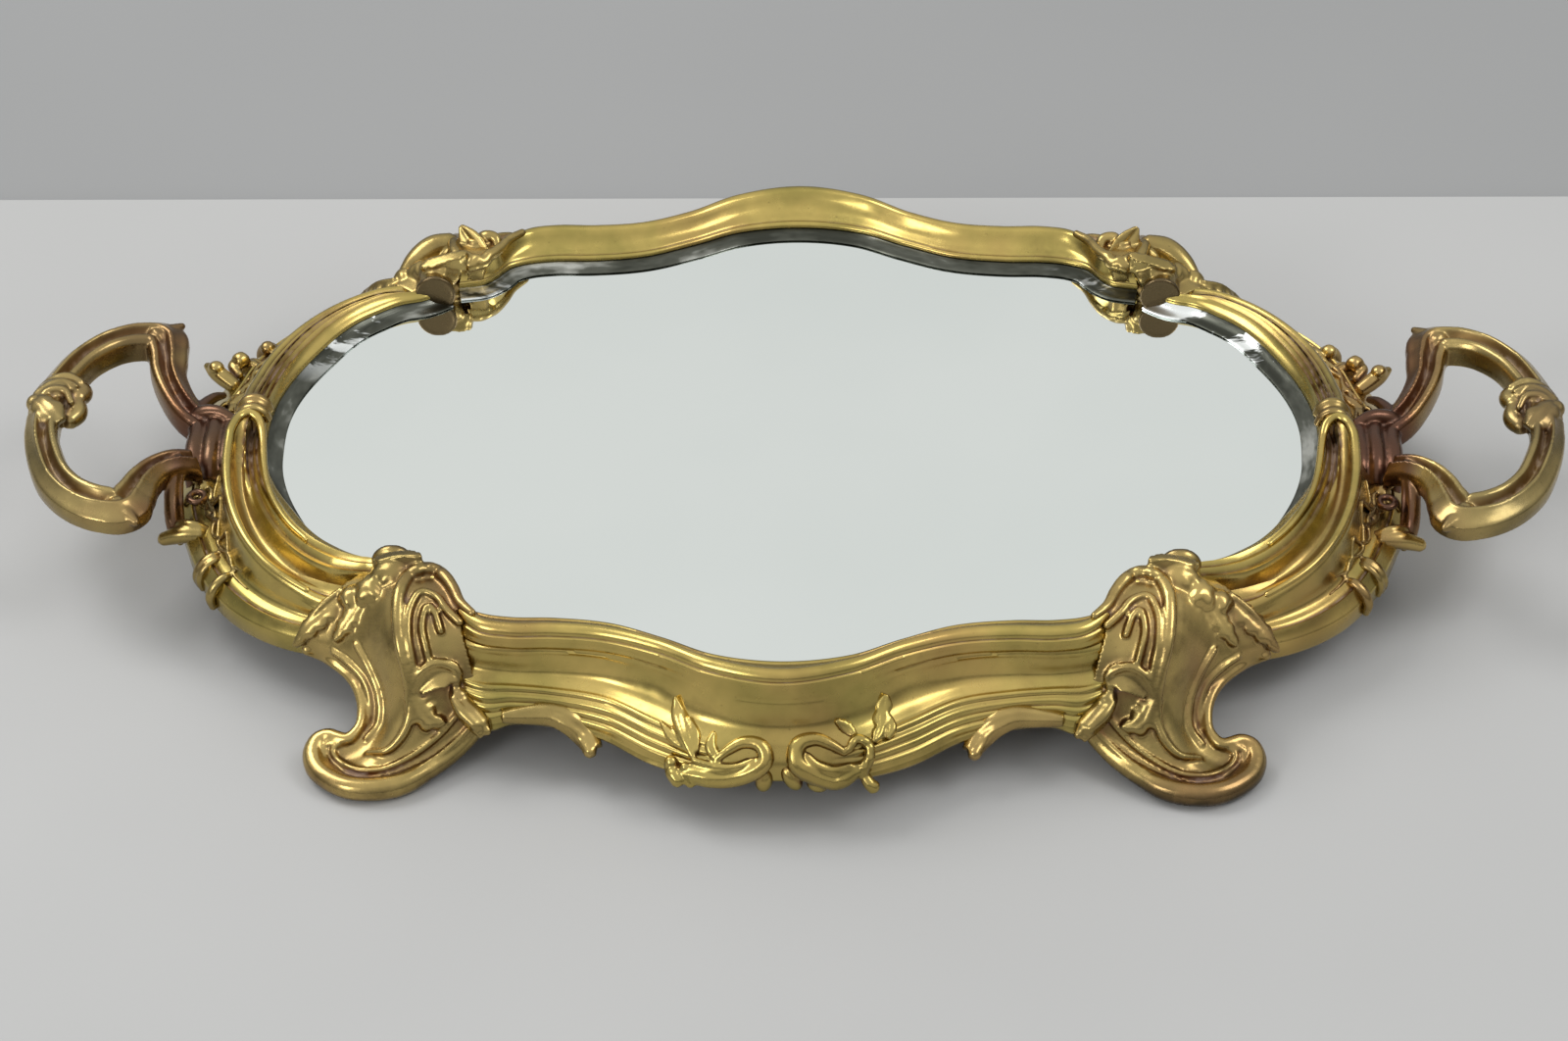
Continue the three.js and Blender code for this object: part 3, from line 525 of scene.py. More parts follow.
def bezier_way(a, b, c, d, t):
    t = np.asarray(t, float)[:, None]
    a, b, c, d = (np.asarray(p, float) for p in (a, b, c, d))
    return unit((b - a) * 3 * (1 - t) ** 2 + (c - b) * 6 * t * (1 - t) + (d - c) * 3 * t**2)


SIDE = ((134, -72), (153, -70), (172, -44), (172, 0))
CORNER = ((114, -84), (121, -83), (124, -73), (134, -72))


def side_edge(t):
    """Places on the opening's edge and outward directions; below 0 the line runs on into the corner."""
    t = np.atleast_1d(np.asarray(t, float))
    on_side = np.maximum(t, 0)
    on_corner = 1 + 1.9 * np.minimum(t, 0)
    p = np.where((t >= 0)[:, None], bezier(*SIDE, on_side), bezier(*CORNER, on_corner))
    way = np.where((t >= 0)[:, None], bezier_way(*SIDE, on_side), bezier_way(*CORNER, on_corner))
    return p, np.column_stack([way[:, 1], -way[:, 0]])


EDGE_Z = 40.3  # the rails' edge over the glass
LEDGE_Z = 38.35  # the rails' underside over the bezel


# ---- Front and back rails ----
# Each column stands across the rail: the opening's edge, the top ridge, the cove, the brow and the foot.
FRONT_NET = [
    [(0, -120.5), (0, -133.0, 48.7), (0, -138.5, 35.5), (0, -143.5, 27), (0, -148.4, 16.8)],
    [(21.5, -117.2), (22, -127.6, 48.6), (22.5, -133.6, 35.5), (23, -141, 27), (23, -147.6, 16.8)],
    [(37.5, -109.2), (39, -117.6, 48.0), (39.5, -122.6, 35.5), (40, -131, 27.5), (41, -140.5, 16.5)],
    [(54, -102.2), (55, -111.6, 47.6), (55, -116, 35.5), (55, -121.8, 28), (56, -130, 17)],
    [(72, -99.6), (72, -109.7, 47.5), (72, -114, 35.5), (72, -118.4, 28.5), (72, -125, 18)],
    [(86, -99.3), (86, -109.7, 47.5), (86, -114, 35.5), (85, -117.4, 29), (85, -124.5, 18.5)],
    [(95, -97.6), (95, -107.3, 47.6), (96, -112.5, 36), (95, -117, 29.5), (93, -126, 17.5)],
    [(101, -94.5), (101, -101, 48.0), (103.5, -109, 37), (103, -114, 30), (101, -119, 18.5)],
    [(105, -89), (104.5, -92.5, 48.7), (108.5, -104, 39.5), (109, -110.5, 30), (107, -115, 19)],
    [(109.5, -84.8), (109, -87.9, 49.2), (113, -98, 41.5), (114, -106, 30), (113, -111, 19)],
    [(118, -82.8), (117, -86.5, 48.5), (119, -94, 41.5), (120, -102, 30), (120, -107, 19)],
]
# From the edge to the ridge: the share of the way and the height, for an edge at SLOPE_FOOT.
SLOPE_FOOT, SLOPE_RISE = 42.4, 7.6
INNER_SLOPE = [
    (0.0, 42.4), (0.0, 43.2), (0.05, 43.8), (0.13, 44.0), (0.18, 43.7), (0.22, 44.15), (0.30, 44.5),
    (0.42, 44.8), (0.54, 45.4), (0.66, 46.4), (0.78, 47.9), (0.88, 49.3), (0.95, 49.85), (1.0, 50.0),
]


def front_ring(edge, ridge, cove, brow, foot, x):
    """One closed section of the front rail."""
    e = np.array([edge[0], edge[1], EDGE_Z])
    out = unit(np.array([cove[0] - ridge[0], cove[1] - ridge[1], 0.0]))
    down = np.array([0, 0, -1.0])
    grow = (ridge[2] - EDGE_Z) / SLOPE_RISE
    ring = []
    for share, z in INNER_SLOPE:
        p = e + (ridge - e) * share
        p[2] = EDGE_Z + (z - SLOPE_FOOT) * grow
        ring.append(p)
    for s, z in ((1.1, 0.05), (2.1, -0.35), (3.0, -1.3), (3.35, -2.3), (3.3, -2.65), (2.95, -2.85),
            (3.15, -3.1), (3.9, -3.4), (4.15, -4.2)):
        ring.append(ridge + out * s + down * -z)
    start = ridge + out * 4.15 + down * 4.8
    middle = cove * 0.45 + brow * 0.55 + unit(np.array([-out[0], -out[1], -0.6])) * 1.7
    face = through([start, start * 0.5 + cove * 0.5 - out * 0.25, cove, middle, brow], 22)
    for p in face:
        depth = ridge[2] - p[2]
        mark = 0.0
        fade = np.clip((abs(x) - 24) / 14, 0, 1) * np.clip((112 - abs(x)) / 10, 0, 1)
        for place, rise in ((6.6, 0.42), (7.7, -0.30), (8.9, 0.38)):
            mark += rise * np.exp(-(((depth - place) / 0.42) ** 2)) * fade
        mark += -0.3 * np.exp(-(((depth - 9.3) / 0.4) ** 2)) * (1.0 if abs(x) < 14 else 0.0)
        ring.append(p + out * mark)
    reeds = through([brow, brow * 0.5 + foot * 0.5 + out * 0.9 + down * -0.6, foot], 26)
    fade = np.clip((abs(x) - 14) / 12, 0, 1) * np.clip((106 - abs(x)) / 8, 0, 1)
    for i, p in enumerate(reeds[1:]):
        u = (i + 1) / 25
        wave = abs(math.sin(math.pi * 4 * min(u / 0.86, 1))) if u < 0.86 else 0
        lift = 0.85 * wave * fade * (1.0 if u < 0.5 else 0.9)
        ring.append(p + out * lift * 0.7 + down * -lift * 0.8)
    ring += [foot - out * 0.5 + down * 0.9, foot - out * 1.7 + down * 0.9, foot - out * 2.6,
        brow - out * 3.0 + down * 2.5]
    # The hollow back, then the ledge over the glass.
    way = unit(np.array([ridge[0] - e[0], ridge[1] - e[1], 0.0]))
    reach = np.linalg.norm((ridge - e)[:2])
    ring.append(np.array([cove[0] - out[0] * 1.6, cove[1] - out[1] * 1.6, 36.0]))
    for far, z in (
        (max(reach - 1.5, 6.6), 40.0), (min(5.3, reach * 0.6), LEDGE_Z), (3.3, LEDGE_Z), (3.3, EDGE_Z - 0.5),
        (0.5, EDGE_Z - 0.2),
    ):
        ring.append(np.array([*(e + way * far)[:2], z]))
    return ring


def front_rail():
    rows = []
    for column in FRONT_NET:
        flat = []
        for point in column:
            flat += list(point) if len(point) == 3 else [*point, EDGE_Z]
        rows.append(flat)
    rows = np.array(rows)
    mirror = rows.copy()
    mirror[:, 0::3] *= -1
    full = np.vstack([mirror[:0:-1], rows])
    t = np.concatenate([[0], np.cumsum(np.linalg.norm(np.diff(full[:, 6:9], axis=0), axis=1))])
    at = np.linspace(0, t[-1], 251)
    dense = spline(t, full, at)
    rings = []
    for row in dense:
        e, r, c, b, f = row.reshape(5, 3)
        rings.append(front_ring(e, r.copy(), c, b, f, r[0]))
    return [loft(rings)]


# ---- Side rails ----
# By the place along the side curve: the rim, the cove inside it, the slope's foot and the outer
# edge, each as (distance outwards, height).
SIDE_NET = [
    (-0.34, (9.0, 42.0), (7, 41.5), (13, 34), (16, 28)),
    (0.0, (11.5, 36.5), (8, 37), (17, 28), (20, 24)),
    (0.12, (13.5, 35.0), (8.5, 35.5), (19, 27.0), (22, 23.5)),
    (0.25, (15.0, 37.5), (10, 36), (22.0, 27.0), (25.2, 23.5)),
    (0.42, (17.0, 41.0), (12, 38), (24.6, 27.0), (28.8, 23.5)),
    (0.58, (17.0, 44.0), (12, 39.5), (26.0, 27.4), (30.5, 23.5)),
    (0.74, (15.8, 46.6), (11, 42.0), (26.6, 28.0), (31.5, 24)),
    (0.86, (14.2, 48.6), (9.6, 45.0), (27.0, 29.0), (33, 25)),
    (0.925, (12.8, 50.2), (8.6, 47.6), (25.5, 30.5), (32, 25)),
    (0.955, (11.0, 50.4), (7.8, 49.3), (26, 31), (31.5, 25)),
    (1.00, (8.5, 50.4), (6.4, 50.4), (26, 31), (31, 25)),
]
# The back half has no panel: one ridge with flutes inside it.
SIDE_BACK_NET = [
    (-0.34, (9.0, 42.0), (6, 41.5), (13, 34), (16, 28)),
    (0.0, (10.0, 41.5), (6.4, 40.5), (17, 28), (20, 24)),
    (0.12, (9.6, 42.4), (6.4, 41.8), (19, 27.0), (22, 23.5)),
    (0.25, (9.4, 42.6), (6.2, 42.2), (21.5, 27.5), (24.5, 24)),
    (0.42, (9.4, 43.2), (6.2, 42.9), (23, 28.0), (28.0, 24)),
    (0.58, (9.6, 44.2), (6.4, 43.6), (23.3, 28.5), (30.0, 24)),
    (0.74, (9.8, 45.8), (6.6, 44.8), (22.5, 28.5), (31.5, 24)),
    (0.86, (9.8, 47.6), (6.6, 46.6), (24.5, 29.5), (33, 25)),
    (0.925, (10.0, 49.2), (6.8, 48.2), (25.5, 30.5), (32, 25)),
    (0.955, (9.6, 50.0), (6.6, 49.6), (26, 31), (31.5, 25)),
    (1.00, (8.5, 50.4), (6.4, 50.4), (26, 31), (31, 25)),
]


def ease_in(value):
    value = np.clip(value, 0.0, 1.0)
    return value * value * (3 - 2 * value)


def edge_shift(t, back):
    """How far the rail's inner edge stands outside the opening's line, and its height."""
    if back:
        shift = -2.6 * ease_in((t + 0.05) / 0.3) + 5.0 * ease_in((t - 0.55) / 0.45)
        return shift, 41.3 + (EDGE_Z - 41.3) * ease_in((t - 0.6) / 0.4)
    middle = ease_in((t - 0.5) / 0.4)
    return -1.8 * ease_in((t + 0.05) / 0.3) * (1 - middle) + 2.4 * middle, 42.0 * (1 - middle) + EDGE_Z * middle


def side_ring(p, d, rim, cove, slope, outer, hump, start, edge_z, lift):
    """One closed section of the side rail; hump is 1 on the plain round middle and 0 on the panel."""
    def at(s, z):
        return np.array([p[0] + d[0] * s, p[1] + d[1] * s, z])
    (rs, rz), (cs, cz), (ts, tz), (os_, oz) = rim, cove, slope, outer
    panel = [
        (0, 42.4), (0, 43.2), (0.5, 43.9), (1.5, 44.3), (2.3, 44.8), (3.0, 45.8), (3.7, 45.2), (4.3, 44.4),
        (4.9, 44.6), (5.5, 45.0), (6.1, 44.3), (6.7, 43.1), (7.4, 43.2), (8.0, 43.6), (8.5, 42.6),
    ]
    low = min(cz, 42)
    panel = [(s * min(1, cs / 8.8), z if s < 4 else z + (low - 40) * 0.18 * (s - 4) / 4) for s, z in panel]
    far = panel[-1][0]
    panel = [(start + s * (far - start) / far,
        z - (42.4 - edge_z) * (1 - s / far) + lift * (cz - 42.9) * (s / far) ** 1.4) for s, z in panel]
    valley = through([(panel[-1][0], panel[-1][1]), (cs * 0.5 + panel[-1][0] * 0.5, cz + 1.2), (cs, cz),
                      ((cs + rs) / 2, (cz * 0.62 + rz * 0.38)), (rs - 1.6, rz - 1.0)], 12)[1:]
    crest = [(rs - 0.9, rz - 0.2), (rs, rz + 0.15), (rs + 0.9, rz - 0.3), (rs + 1.7, rz - 1.4)]
    drop = through([(rs + 2.1, rz - 2.6), (rs + 2.6, rz * 0.6 + tz * 0.4),
        (rs * 0.42 + ts * 0.58, rz * 0.12 + tz * 0.88), (ts - 0.4, tz + 0.4)], 12)
    plain = through([(start, edge_z), (start, edge_z + 1.0), (start + 0.8, edge_z + 1.9),
        (max(3.4, start + 1.6), 45.6), (4.8, 49.0), (6.4, 50.4), (8.2, 49.8), (10, 47.5), (11.5, 44.2),
                     (13, 41), (15, 38.6), (17, 37), (19.5, 36), (22, 35), (24.5, 33.4), (27, 31.8)],
                     len(panel) + len(valley) + len(crest) + len(drop))
    shape = np.array(panel + [tuple(v) for v in valley] + crest + [tuple(v) for v in drop])
    shape = shape * (1 - hump) + plain * hump
    ts2 = ts * (1 - hump) + 27 * hump
    tz2 = tz * (1 - hump) + 31.5 * hump
    tail = [
        (ts2, tz2 - 0.2), (ts2 + 0.4, tz2 - 0.5), (ts2 + 0.8, tz2 + 0.35), (ts2 + 1.4, tz2 + 0.55),
        (os_ - 0.5, oz + 0.5), (os_, oz), (os_ + 0.1, oz - 0.6),
        (os_ - 0.1, 17.6), (os_ - 0.5, 16.8), (os_ - 2.2, 16.8), (os_ - 3.0, 17.4),
        (os_ - 3.6, min(oz - 2.6, 22)),
        (ts2 - 2.2, tz2 - 4.0), (min(rs + 1.2, ts2 - 5), 30.0), (max(rs - 1.5, 8.5), 33.0),
        (max(rs - 2.5, 7.2), 35.5), (start * 0.4 + 5.4, LEDGE_Z), (start + 3.3, LEDGE_Z),
        (start + 3.3, edge_z - 0.5), (start + 0.5, edge_z - 0.2),
    ]
    return [at(s, z) for s, z in [tuple(v) for v in shape] + tail]


def side_curves(net):
    return np.array([row[0] for row in net]), np.array([np.ravel(row[1:]) for row in net])


def side_half(net, back):
    t, values = side_curves(net)
    at = np.concatenate([np.linspace(-0.34, 0.9, 104), np.linspace(0.905, 1.0, 24)])
    rows = spline(t, values, at)
    p, d = side_edge(at)
    hump = ease_in((at - 0.958) / 0.03)
    return np.array([
        side_ring(p[i], d[i], rows[i][0:2], rows[i][2:4], rows[i][4:6], rows[i][6:8], hump[i],
            *edge_shift(at[i], back), float(back))
        for i in range(len(at))
    ])


def side_rail():
    front = side_half(SIDE_NET, False)
    back = side_half(SIDE_BACK_NET, True)[-2::-1]
    back[:, :, 1] *= -1
    return [loft(np.vstack([front, back]))]


def side_point(t, s, z):
    p, d = side_edge(t)
    return np.array([p[0][0] + d[0][0] * s, p[0][1] + d[0][1] * s, z])


def rim_line():
    """The bright rounded rim of the side panel: down the outside, round the tip and back along the inside."""
    t, values = side_curves(SIDE_NET)
    outside = []
    for at in np.linspace(0.20, 0.93, 28):
        row = spline(t, values, [at])[0]
        outside.append([*side_point(at, row[0], row[1] - 0.3), 1.0 + 0.65 * min(1, (at - 0.1) * 1.4)])
    tip = [[*side_point(0.957, 11.0, 49.9), 1.75], [*side_point(0.972, 8.0, 50.2), 1.9],
        [*side_point(0.958, 5.0, 49.0), 1.7]]
    inside = [
        [*side_point(at, s, z), r]
        for at, s, z, r in (
            (0.93, 3.7, 47.2, 1.45), (0.89, 3.2, 46.0, 1.35), (0.84, 3.1, 45.3, 1.3), (0.78, 3.1, 44.9, 1.2),
            (0.70, 3.2, 44.8, 1.2), (0.58, 3.1, 44.7, 1.1), (0.45, 3.0, 44.6, 1.0), (0.33, 3.0, 44.4, 0.9),
        )
    ]
    return np.array(outside + tip + inside)


def panel_rims():
    rim = rim_line()
    return [tube(rim[:, :3], rim[:, 3], steps=150, sides=12)]


# ---- Legs ----
# Down the leg: its outer edge towards the toe, the bottom of the channel, the crest and the edge by the rail.
LEG_NET = [
    ((134, -77, 42), (128, -80, 44), (119, -82, 47), (109, -85, 48)),
    ((141, -83, 41), (133, -88, 43.5), (119.5, -89, 48.5), (105, -93, 48.5)),
    ((149, -88.5, 35), (136, -93.5, 37.8), (121, -96, 48), (103, -101, 48)),
    ((153.5, -93, 27), (136.5, -99, 31.8), (121, -103.5, 45), (101, -106.5, 45)),
    ((151, -94.5, 22), (134.5, -103.6, 26.4), (120, -111.5, 39.5), (99, -111.5, 38)),
    ((146, -96.5, 21), (131.5, -107.4, 21.4), (118.5, -116, 32), (97, -115, 31)),
    ((140, -101, 19.7), (129.2, -111.6, 17.4), (117.3, -119, 25), (95.5, -118.5, 24)),
    ((135.5, -107, 17), (128.6, -116, 13.2), (117.3, -122.3, 19.5), (95.5, -120.5, 17)),
    ((133.8, -113, 14), (129.5, -120.5, 10.3), (119.5, -126.5, 14.5), (99, -122.5, 11.5)),
    ((135, -118.5, 11.3), (131.8, -124.8, 8), (122.5, -129.5, 10.8), (105, -127, 8.5)),
    ((138.5, -121.3, 9.6), (136.8, -127, 6.3), (127.5, -132, 8), (113, -132.5, 6.8)),
    ((142, -121.3, 9.4), (142, -127.4, 5.7), (134.5, -133, 6.2), (121, -136.5, 5)),
    ((145, -120.3, 8.8), (145, -126, 5.5), (141, -131.5, 5.2), (133, -138, 4.2)),
    ((147.4, -122, 7), (147, -125.5, 5.8), (145.6, -129, 4.8), (142, -134, 4)),
]


def leg_body():
    rows = np.array([np.ravel(row) for row in LEG_NET], float)
    t = np.concatenate([[0], np.cumsum(np.linalg.norm(np.diff(rows[:, 3:9], axis=0), axis=1))])
    dense = spline(t, rows, np.linspace(0, t[-1], 70)).reshape(-1, 4, 3)
    front = np.array([spline([0, 1, 2, 3], row, np.linspace(0, 3, 25)) for row in dense])
    down = np.gradient(front, axis=0)
    across = np.gradient(front, axis=1)
    out = unit(np.cross(across, down))
    out = np.where(out[..., 1:2] > 0.2, -out, out)
    rings = []
    for i, (row, normal) in enumerate(zip(front, out)):
        thick = 6.5 - 2.0 * i / 69
        behind = row - normal * thick
        behind[:, 2] = np.maximum(behind[:, 2], 1.6)
        rings.append(np.vstack([row, behind[::-1][1:-1]]))
    return [loft(np.array(rings))]


def leg_parts(rail_shape):
    body = leg_body() + [ball((124, -90, 36), (11, 10, 9)), ball((131, -86, 37), (9, 8, 7))]
    bed = Bed(body)
    rail_bed = Bed(body + rail_shape)
    parts = list(body)

    def ridge(points, radius, lift=0.3):
        count = max(12, len(points) * 5)
        parts.append(tube(bed.press(through(points, count), lift), swelling(radius, count)))

    # The outer rim round the foot, with its two inner ridges.
    rim = [(153, -94, 23), (149, -93.5, 20.5), (144, -98, 21), (139, -101.5, 19), (135, -107.5, 17),
        (133.5, -113, 14), (134.5, -119, 11.2),
           (138, -122, 9.4), (141, -121.0, 9.4), (144, -119.5, 9.2), (146.8, -120, 7.6), (148.4, -123.5, 5.6),
           (147.4, -128.5, 4.2),
           (142.5, -134.6, 3.8), (136, -138.4, 3.8), (129, -139.2, 3.8), (120, -137, 4), (112, -131.5, 5),
           (105, -126, 6.6), (99, -121.5, 10), (95, -119.5, 14)]
    parts.append(tube(rim, [1.8] * 7 + [2.2] * 3 + [3.0, 3.6, 3.8, 3.8, 3.8, 3.8, 3.8, 3.4, 3.0, 2.6, 2.2],
        steps=130, sides=12))
    ridge([(138, -121, 9), (141.5, -122, 9), (144.4, -124, 9), (144.2, -129.4, 7), (139.5, -135, 6),
        (133, -139.5, 6), (126, -139.5, 6), (117, -135.5, 7), (108, -129, 9), (102, -123, 11), (97, -119, 15)],
        1.15, 0.5)
    ridge([(139, -124, 10), (142, -127, 10), (141, -132, 10), (134, -136, 9), (126, -136, 9), (117, -132, 11),
        (108, -126, 15), (102, -120, 19)], 1.0, 0.5)
    # The ridge that runs from the rail up round the head of the leg and down to the foot.
    ridge([(97, -106, 48.0), (101.2, -101.3, 48.4), (104.5, -94, 49), (108, -88.8, 49.6), (113, -86.2, 50),
        (117.5, -88.5, 50), (120.5, -95, 49), (121, -102, 46), (120, -111, 40),
           (118, -115.5, 32), (117, -118, 25), (117, -122, 20), (120, -126, 14), (124, -128.5, 11),
           (131, -129, 10)], [1.4, 1.8, 2.1, 2.3, 2.4, 2.4, 2.3, 2.1, 1.9, 1.8, 1.8, 1.7, 1.6, 1.3, 0.9], 1.2)
    ridge([(101, -109.5, 47), (106, -102, 47), (109.5, -96, 47), (114, -94, 47), (117, -98, 44),
        (117.5, -103, 38), (116, -108, 31), (115, -112, 26)], 1.35, 1.0)
    ridge([(107, -109, 43), (109.5, -101, 45), (111.5, -97, 44), (113, -101, 40), (111.5, -105, 33),
        (110, -108, 28)], 1.15, 0.9)
    ridge([(136, -102, 32), (131, -105, 24), (128, -110, 18), (128, -118, 13), (132, -124, 11)],
        [0.8, 1.3, 1.4, 1.3, 0.8], 0.5)
    ridge([(144, -96, 24), (138, -101, 23), (133, -106, 20), (131, -112, 16), (131.5, -118, 12.5)],
        [0.7, 1.1, 1.2, 1.1, 0.7], 0.4)

    # The barrel stub towards the mirror, the ball behind it and the leaf block over the corner.
    angle = np.linspace(0, 2 * np.pi, 40, endpoint=False)
    parts.append(loft([
        np.column_stack([125.4 + (y + 74) * -0.08 + r * np.cos(angle), np.full(40, float(y)),
            43.4 + r * np.sin(angle)])
        for y,
        r in ((-88, 6.2), (-80, 6.0), (-76.6, 6.2), (-75.8, 6.9), (-74.4, 7.0), (-73.9, 6.6), (-74.3, 5.9))
    ]))
    parts.append(ball((124.2, -84.6, 45.8), (7.8, 7.2, 5.8), (0.5, 0, 0), lobes=7, depth=0.16))
    parts.append(ball((131.0, -88.5, 42.6), (6.4, 6.6, 4.8), (0.3, 0.3, 0.4), lobes=5, depth=0.22))
    parts.append(ball((137.5, -89.0, 40.0), (4.6, 4.8, 3.8), (0.2, 0.5, 0.2), lobes=4, depth=0.2))
    parts.append(blade([(140, -86.5, 40), (146, -90, 36.0), (152, -93, 31), (156.6, -95, 25.0)],
        [3.6, 4.4, 3.6, 1.0], 2.2, -1.0, up=(0.3, -0.5, 0.8), notch=5, notch_depth=0.25))
    parts.append(tube([(141, -86, 41.5), (147, -89.2, 37.6), (153, -92.4, 31.6)], [0.8, 1.1, 0.7], steps=18,
        sides=8))
    parts.append(blade([(134, -92, 41.5), (139, -96, 35.5), (143, -98.4, 30.0)], [2.6, 3.4, 1.2], 1.6, -0.6,
        up=(0.2, -0.6, 0.7), notch=4, notch_depth=0.3))

    # The opened petals beside the rosebud, with a toothed leaf below them.
    petal = bed.press([(116, -116, 25), (113, -111, 29), (108, -109.5, 31), (102, -112, 29.5),
        (103, -115.5, 24)], 1.2)
    parts.append(tube(petal, [1.3, 1.5, 1.6, 1.5, 1.2]))
    parts.append(blade(bed.press([(114, -117, 26), (109, -113, 28), (104, -112, 29), (101, -113, 28)], 1.0),
        [2.2, 4.0, 4.0, 1.5], 1.6, 1.2, up=(0, -0.8, 0.6)))
    parts.append(blade(bed.press([(117, -116, 25), (115, -119, 22), (111, -122, 18), (106, -121, 16)], 1.4),
        [2.0, 4.4, 4.2, 1.4], 2.0, -0.8, up=(-0.1, -0.8, 0.6), notch=5, notch_depth=0.35))
    parts.append(tube(bed.press([(117, -117, 28), (116, -118.5, 23), (114, -121, 19)], 1.2), [1.0, 1.6, 1.4]))

    # The rosebud at the end of the rail's reeds: folded petals round an egg.
    line = rail_bed.press([(101.5, -117.5, 23.0), (98.5, -119.5, 20.0), (94.0, -121.5, 16.5),
        (89.5, -124, 12.8)], 0.6)
    line[:, 1] -= (0.0, 1.0, 1.6, 1.8)
    parts.append(tube(line[:3], [2.8, 4.0, 3.4], steps=20, sides=16))
    parts.append(tube(line[:3] + np.array([1.8, -1.7, 1.7]), [1.3, 2.3, 1.7], steps=18, sides=12))
    parts.append(tube(line[:3] + np.array([-2.0, -2.0, -0.6]), [1.2, 2.0, 1.5], steps=18, sides=12))
    parts.append(tube(line[:3] + np.array([0.2, -2.8, -1.4]), [1.0, 1.7, 1.2], steps=18, sides=12))
    parts.append(ball(rail_bed.press([(101.5, -117.5, 24.0)], 1.2)[0], (3.0, 2.8, 2.8)))
    # The long leaf along the lower edge of the rail.
    leaf = rail_bed.press([(88, -121, 18.8), (80, -120.5, 19.4), (72, -120.5, 19.4), (66.5, -123, 18.6),
        (62, -127.5, 16.8)], 0.5)
    leaf = np.vstack([leaf, [(59.0, -132.0, 14.6)]])
    parts.append(blade(leaf, [2.2, 3.4, 4.0, 4.4, 4.2, 3.0], 3.2, -1.2, up=(0, -0.75, 0.65)))
    parts.append(tube(leaf[2:] + np.array([0.8, -0.8, -0.8]), [1.0, 1.6, 2.2, 2.3]))
    return parts


# ---- Handles ----
# Along the bar from its outermost point, on the back half: centre, outer and inner half-width, half-height.
HANDLE_PATH = [
    (249.2, 0, 45.2, 6.0, 5.4, 4.9),
    (248.4, 10.6, 45.0, 6.0, 5.4, 4.9),
    (245.2, 22.8, 44.6, 6.2, 5.6, 5.0),
    (239.6, 35.0, 44.2, 6.6, 5.8, 5.0),
    (231.6, 43.4, 43.8, 7.2, 6.4, 5.0),
    (223.4, 46.8, 43.3, 8.2, 7.0, 5.0),
    (217.6, 46.4, 42.6, 9.4, 6.4, 5.0),
    (214.8, 40.2, 41.4, 7.6, 6.0, 4.9),
    (213.0, 31.4, 39.6, 6.2, 5.8, 4.8),
    (209.2, 22.5, 37.2, 5.8, 5.6, 4.8),
    (203.4, 14.6, 34.6, 5.8, 5.8, 4.8),
    (197.0, 10.5, 32.0, 6.0, 6.0, 4.8),
]
# The front arm stays high and ends where the post drops from it.
HANDLE_FRONT_END = [
    (217.6, 46.0, 42.6, 9.4, 6.6, 5.0),
    (215.0, 39.4, 41.8, 7.8, 5.6, 4.9),
    (212.8, 31.0, 41.0, 6.0, 5.0, 4.8),
    (209.0, 23.6, 40.2, 4.8, 4.6, 4.7),
    (203.6, 18.6, 39.2, 4.4, 4.4, 4.6),
    (197.5, 14.6, 36.0, 4.6, 4.6, 4.6),
]
# The bar's section, outwards and up: a broad outer facet with a ridge, a groove and an inner bead.
HANDLE_SECTION = [
    (0.96, -0.85), (1.02, -0.3), (1.0, 0.2), (0.90, 0.36), (0.70, 0.58), (0.48, 0.86), (0.36, 1.06),
    (0.24, 1.0), (0.12, 0.56),
    (0.0, 0.26), (-0.14, 0.28), (-0.30, 0.66), (-0.44, 0.98), (-0.62, 1.06), (-0.80, 0.96), (-0.96, 0.62),
    (-1.0, 0.2),
    (-1.0, -0.5), (-0.94, -0.9), (-0.8, -1.0), (0.0, -1.0), (0.82, -1.0),
]


def handle_bar(sy):
    rows = np.array(HANDLE_PATH if sy > 0 else HANDLE_PATH[:6] + HANDLE_FRONT_END, float)
    rows[:, 1] *= sy
    dense = through(rows, 120)
    way = unit(np.gradient(dense[:, :3], axis=0))
    rings = []
    for row, w in zip(dense, way):
        side = unit(np.array([w[1], -w[0], 0.0])) * sy
        rings.append([
            row[:3] + side * a * (row[3] if a > 0 else row[4]) + np.array([0, 0, 1.0]) * b * row[5] for a,
            b in HANDLE_SECTION
        ])
    return loft(rings)


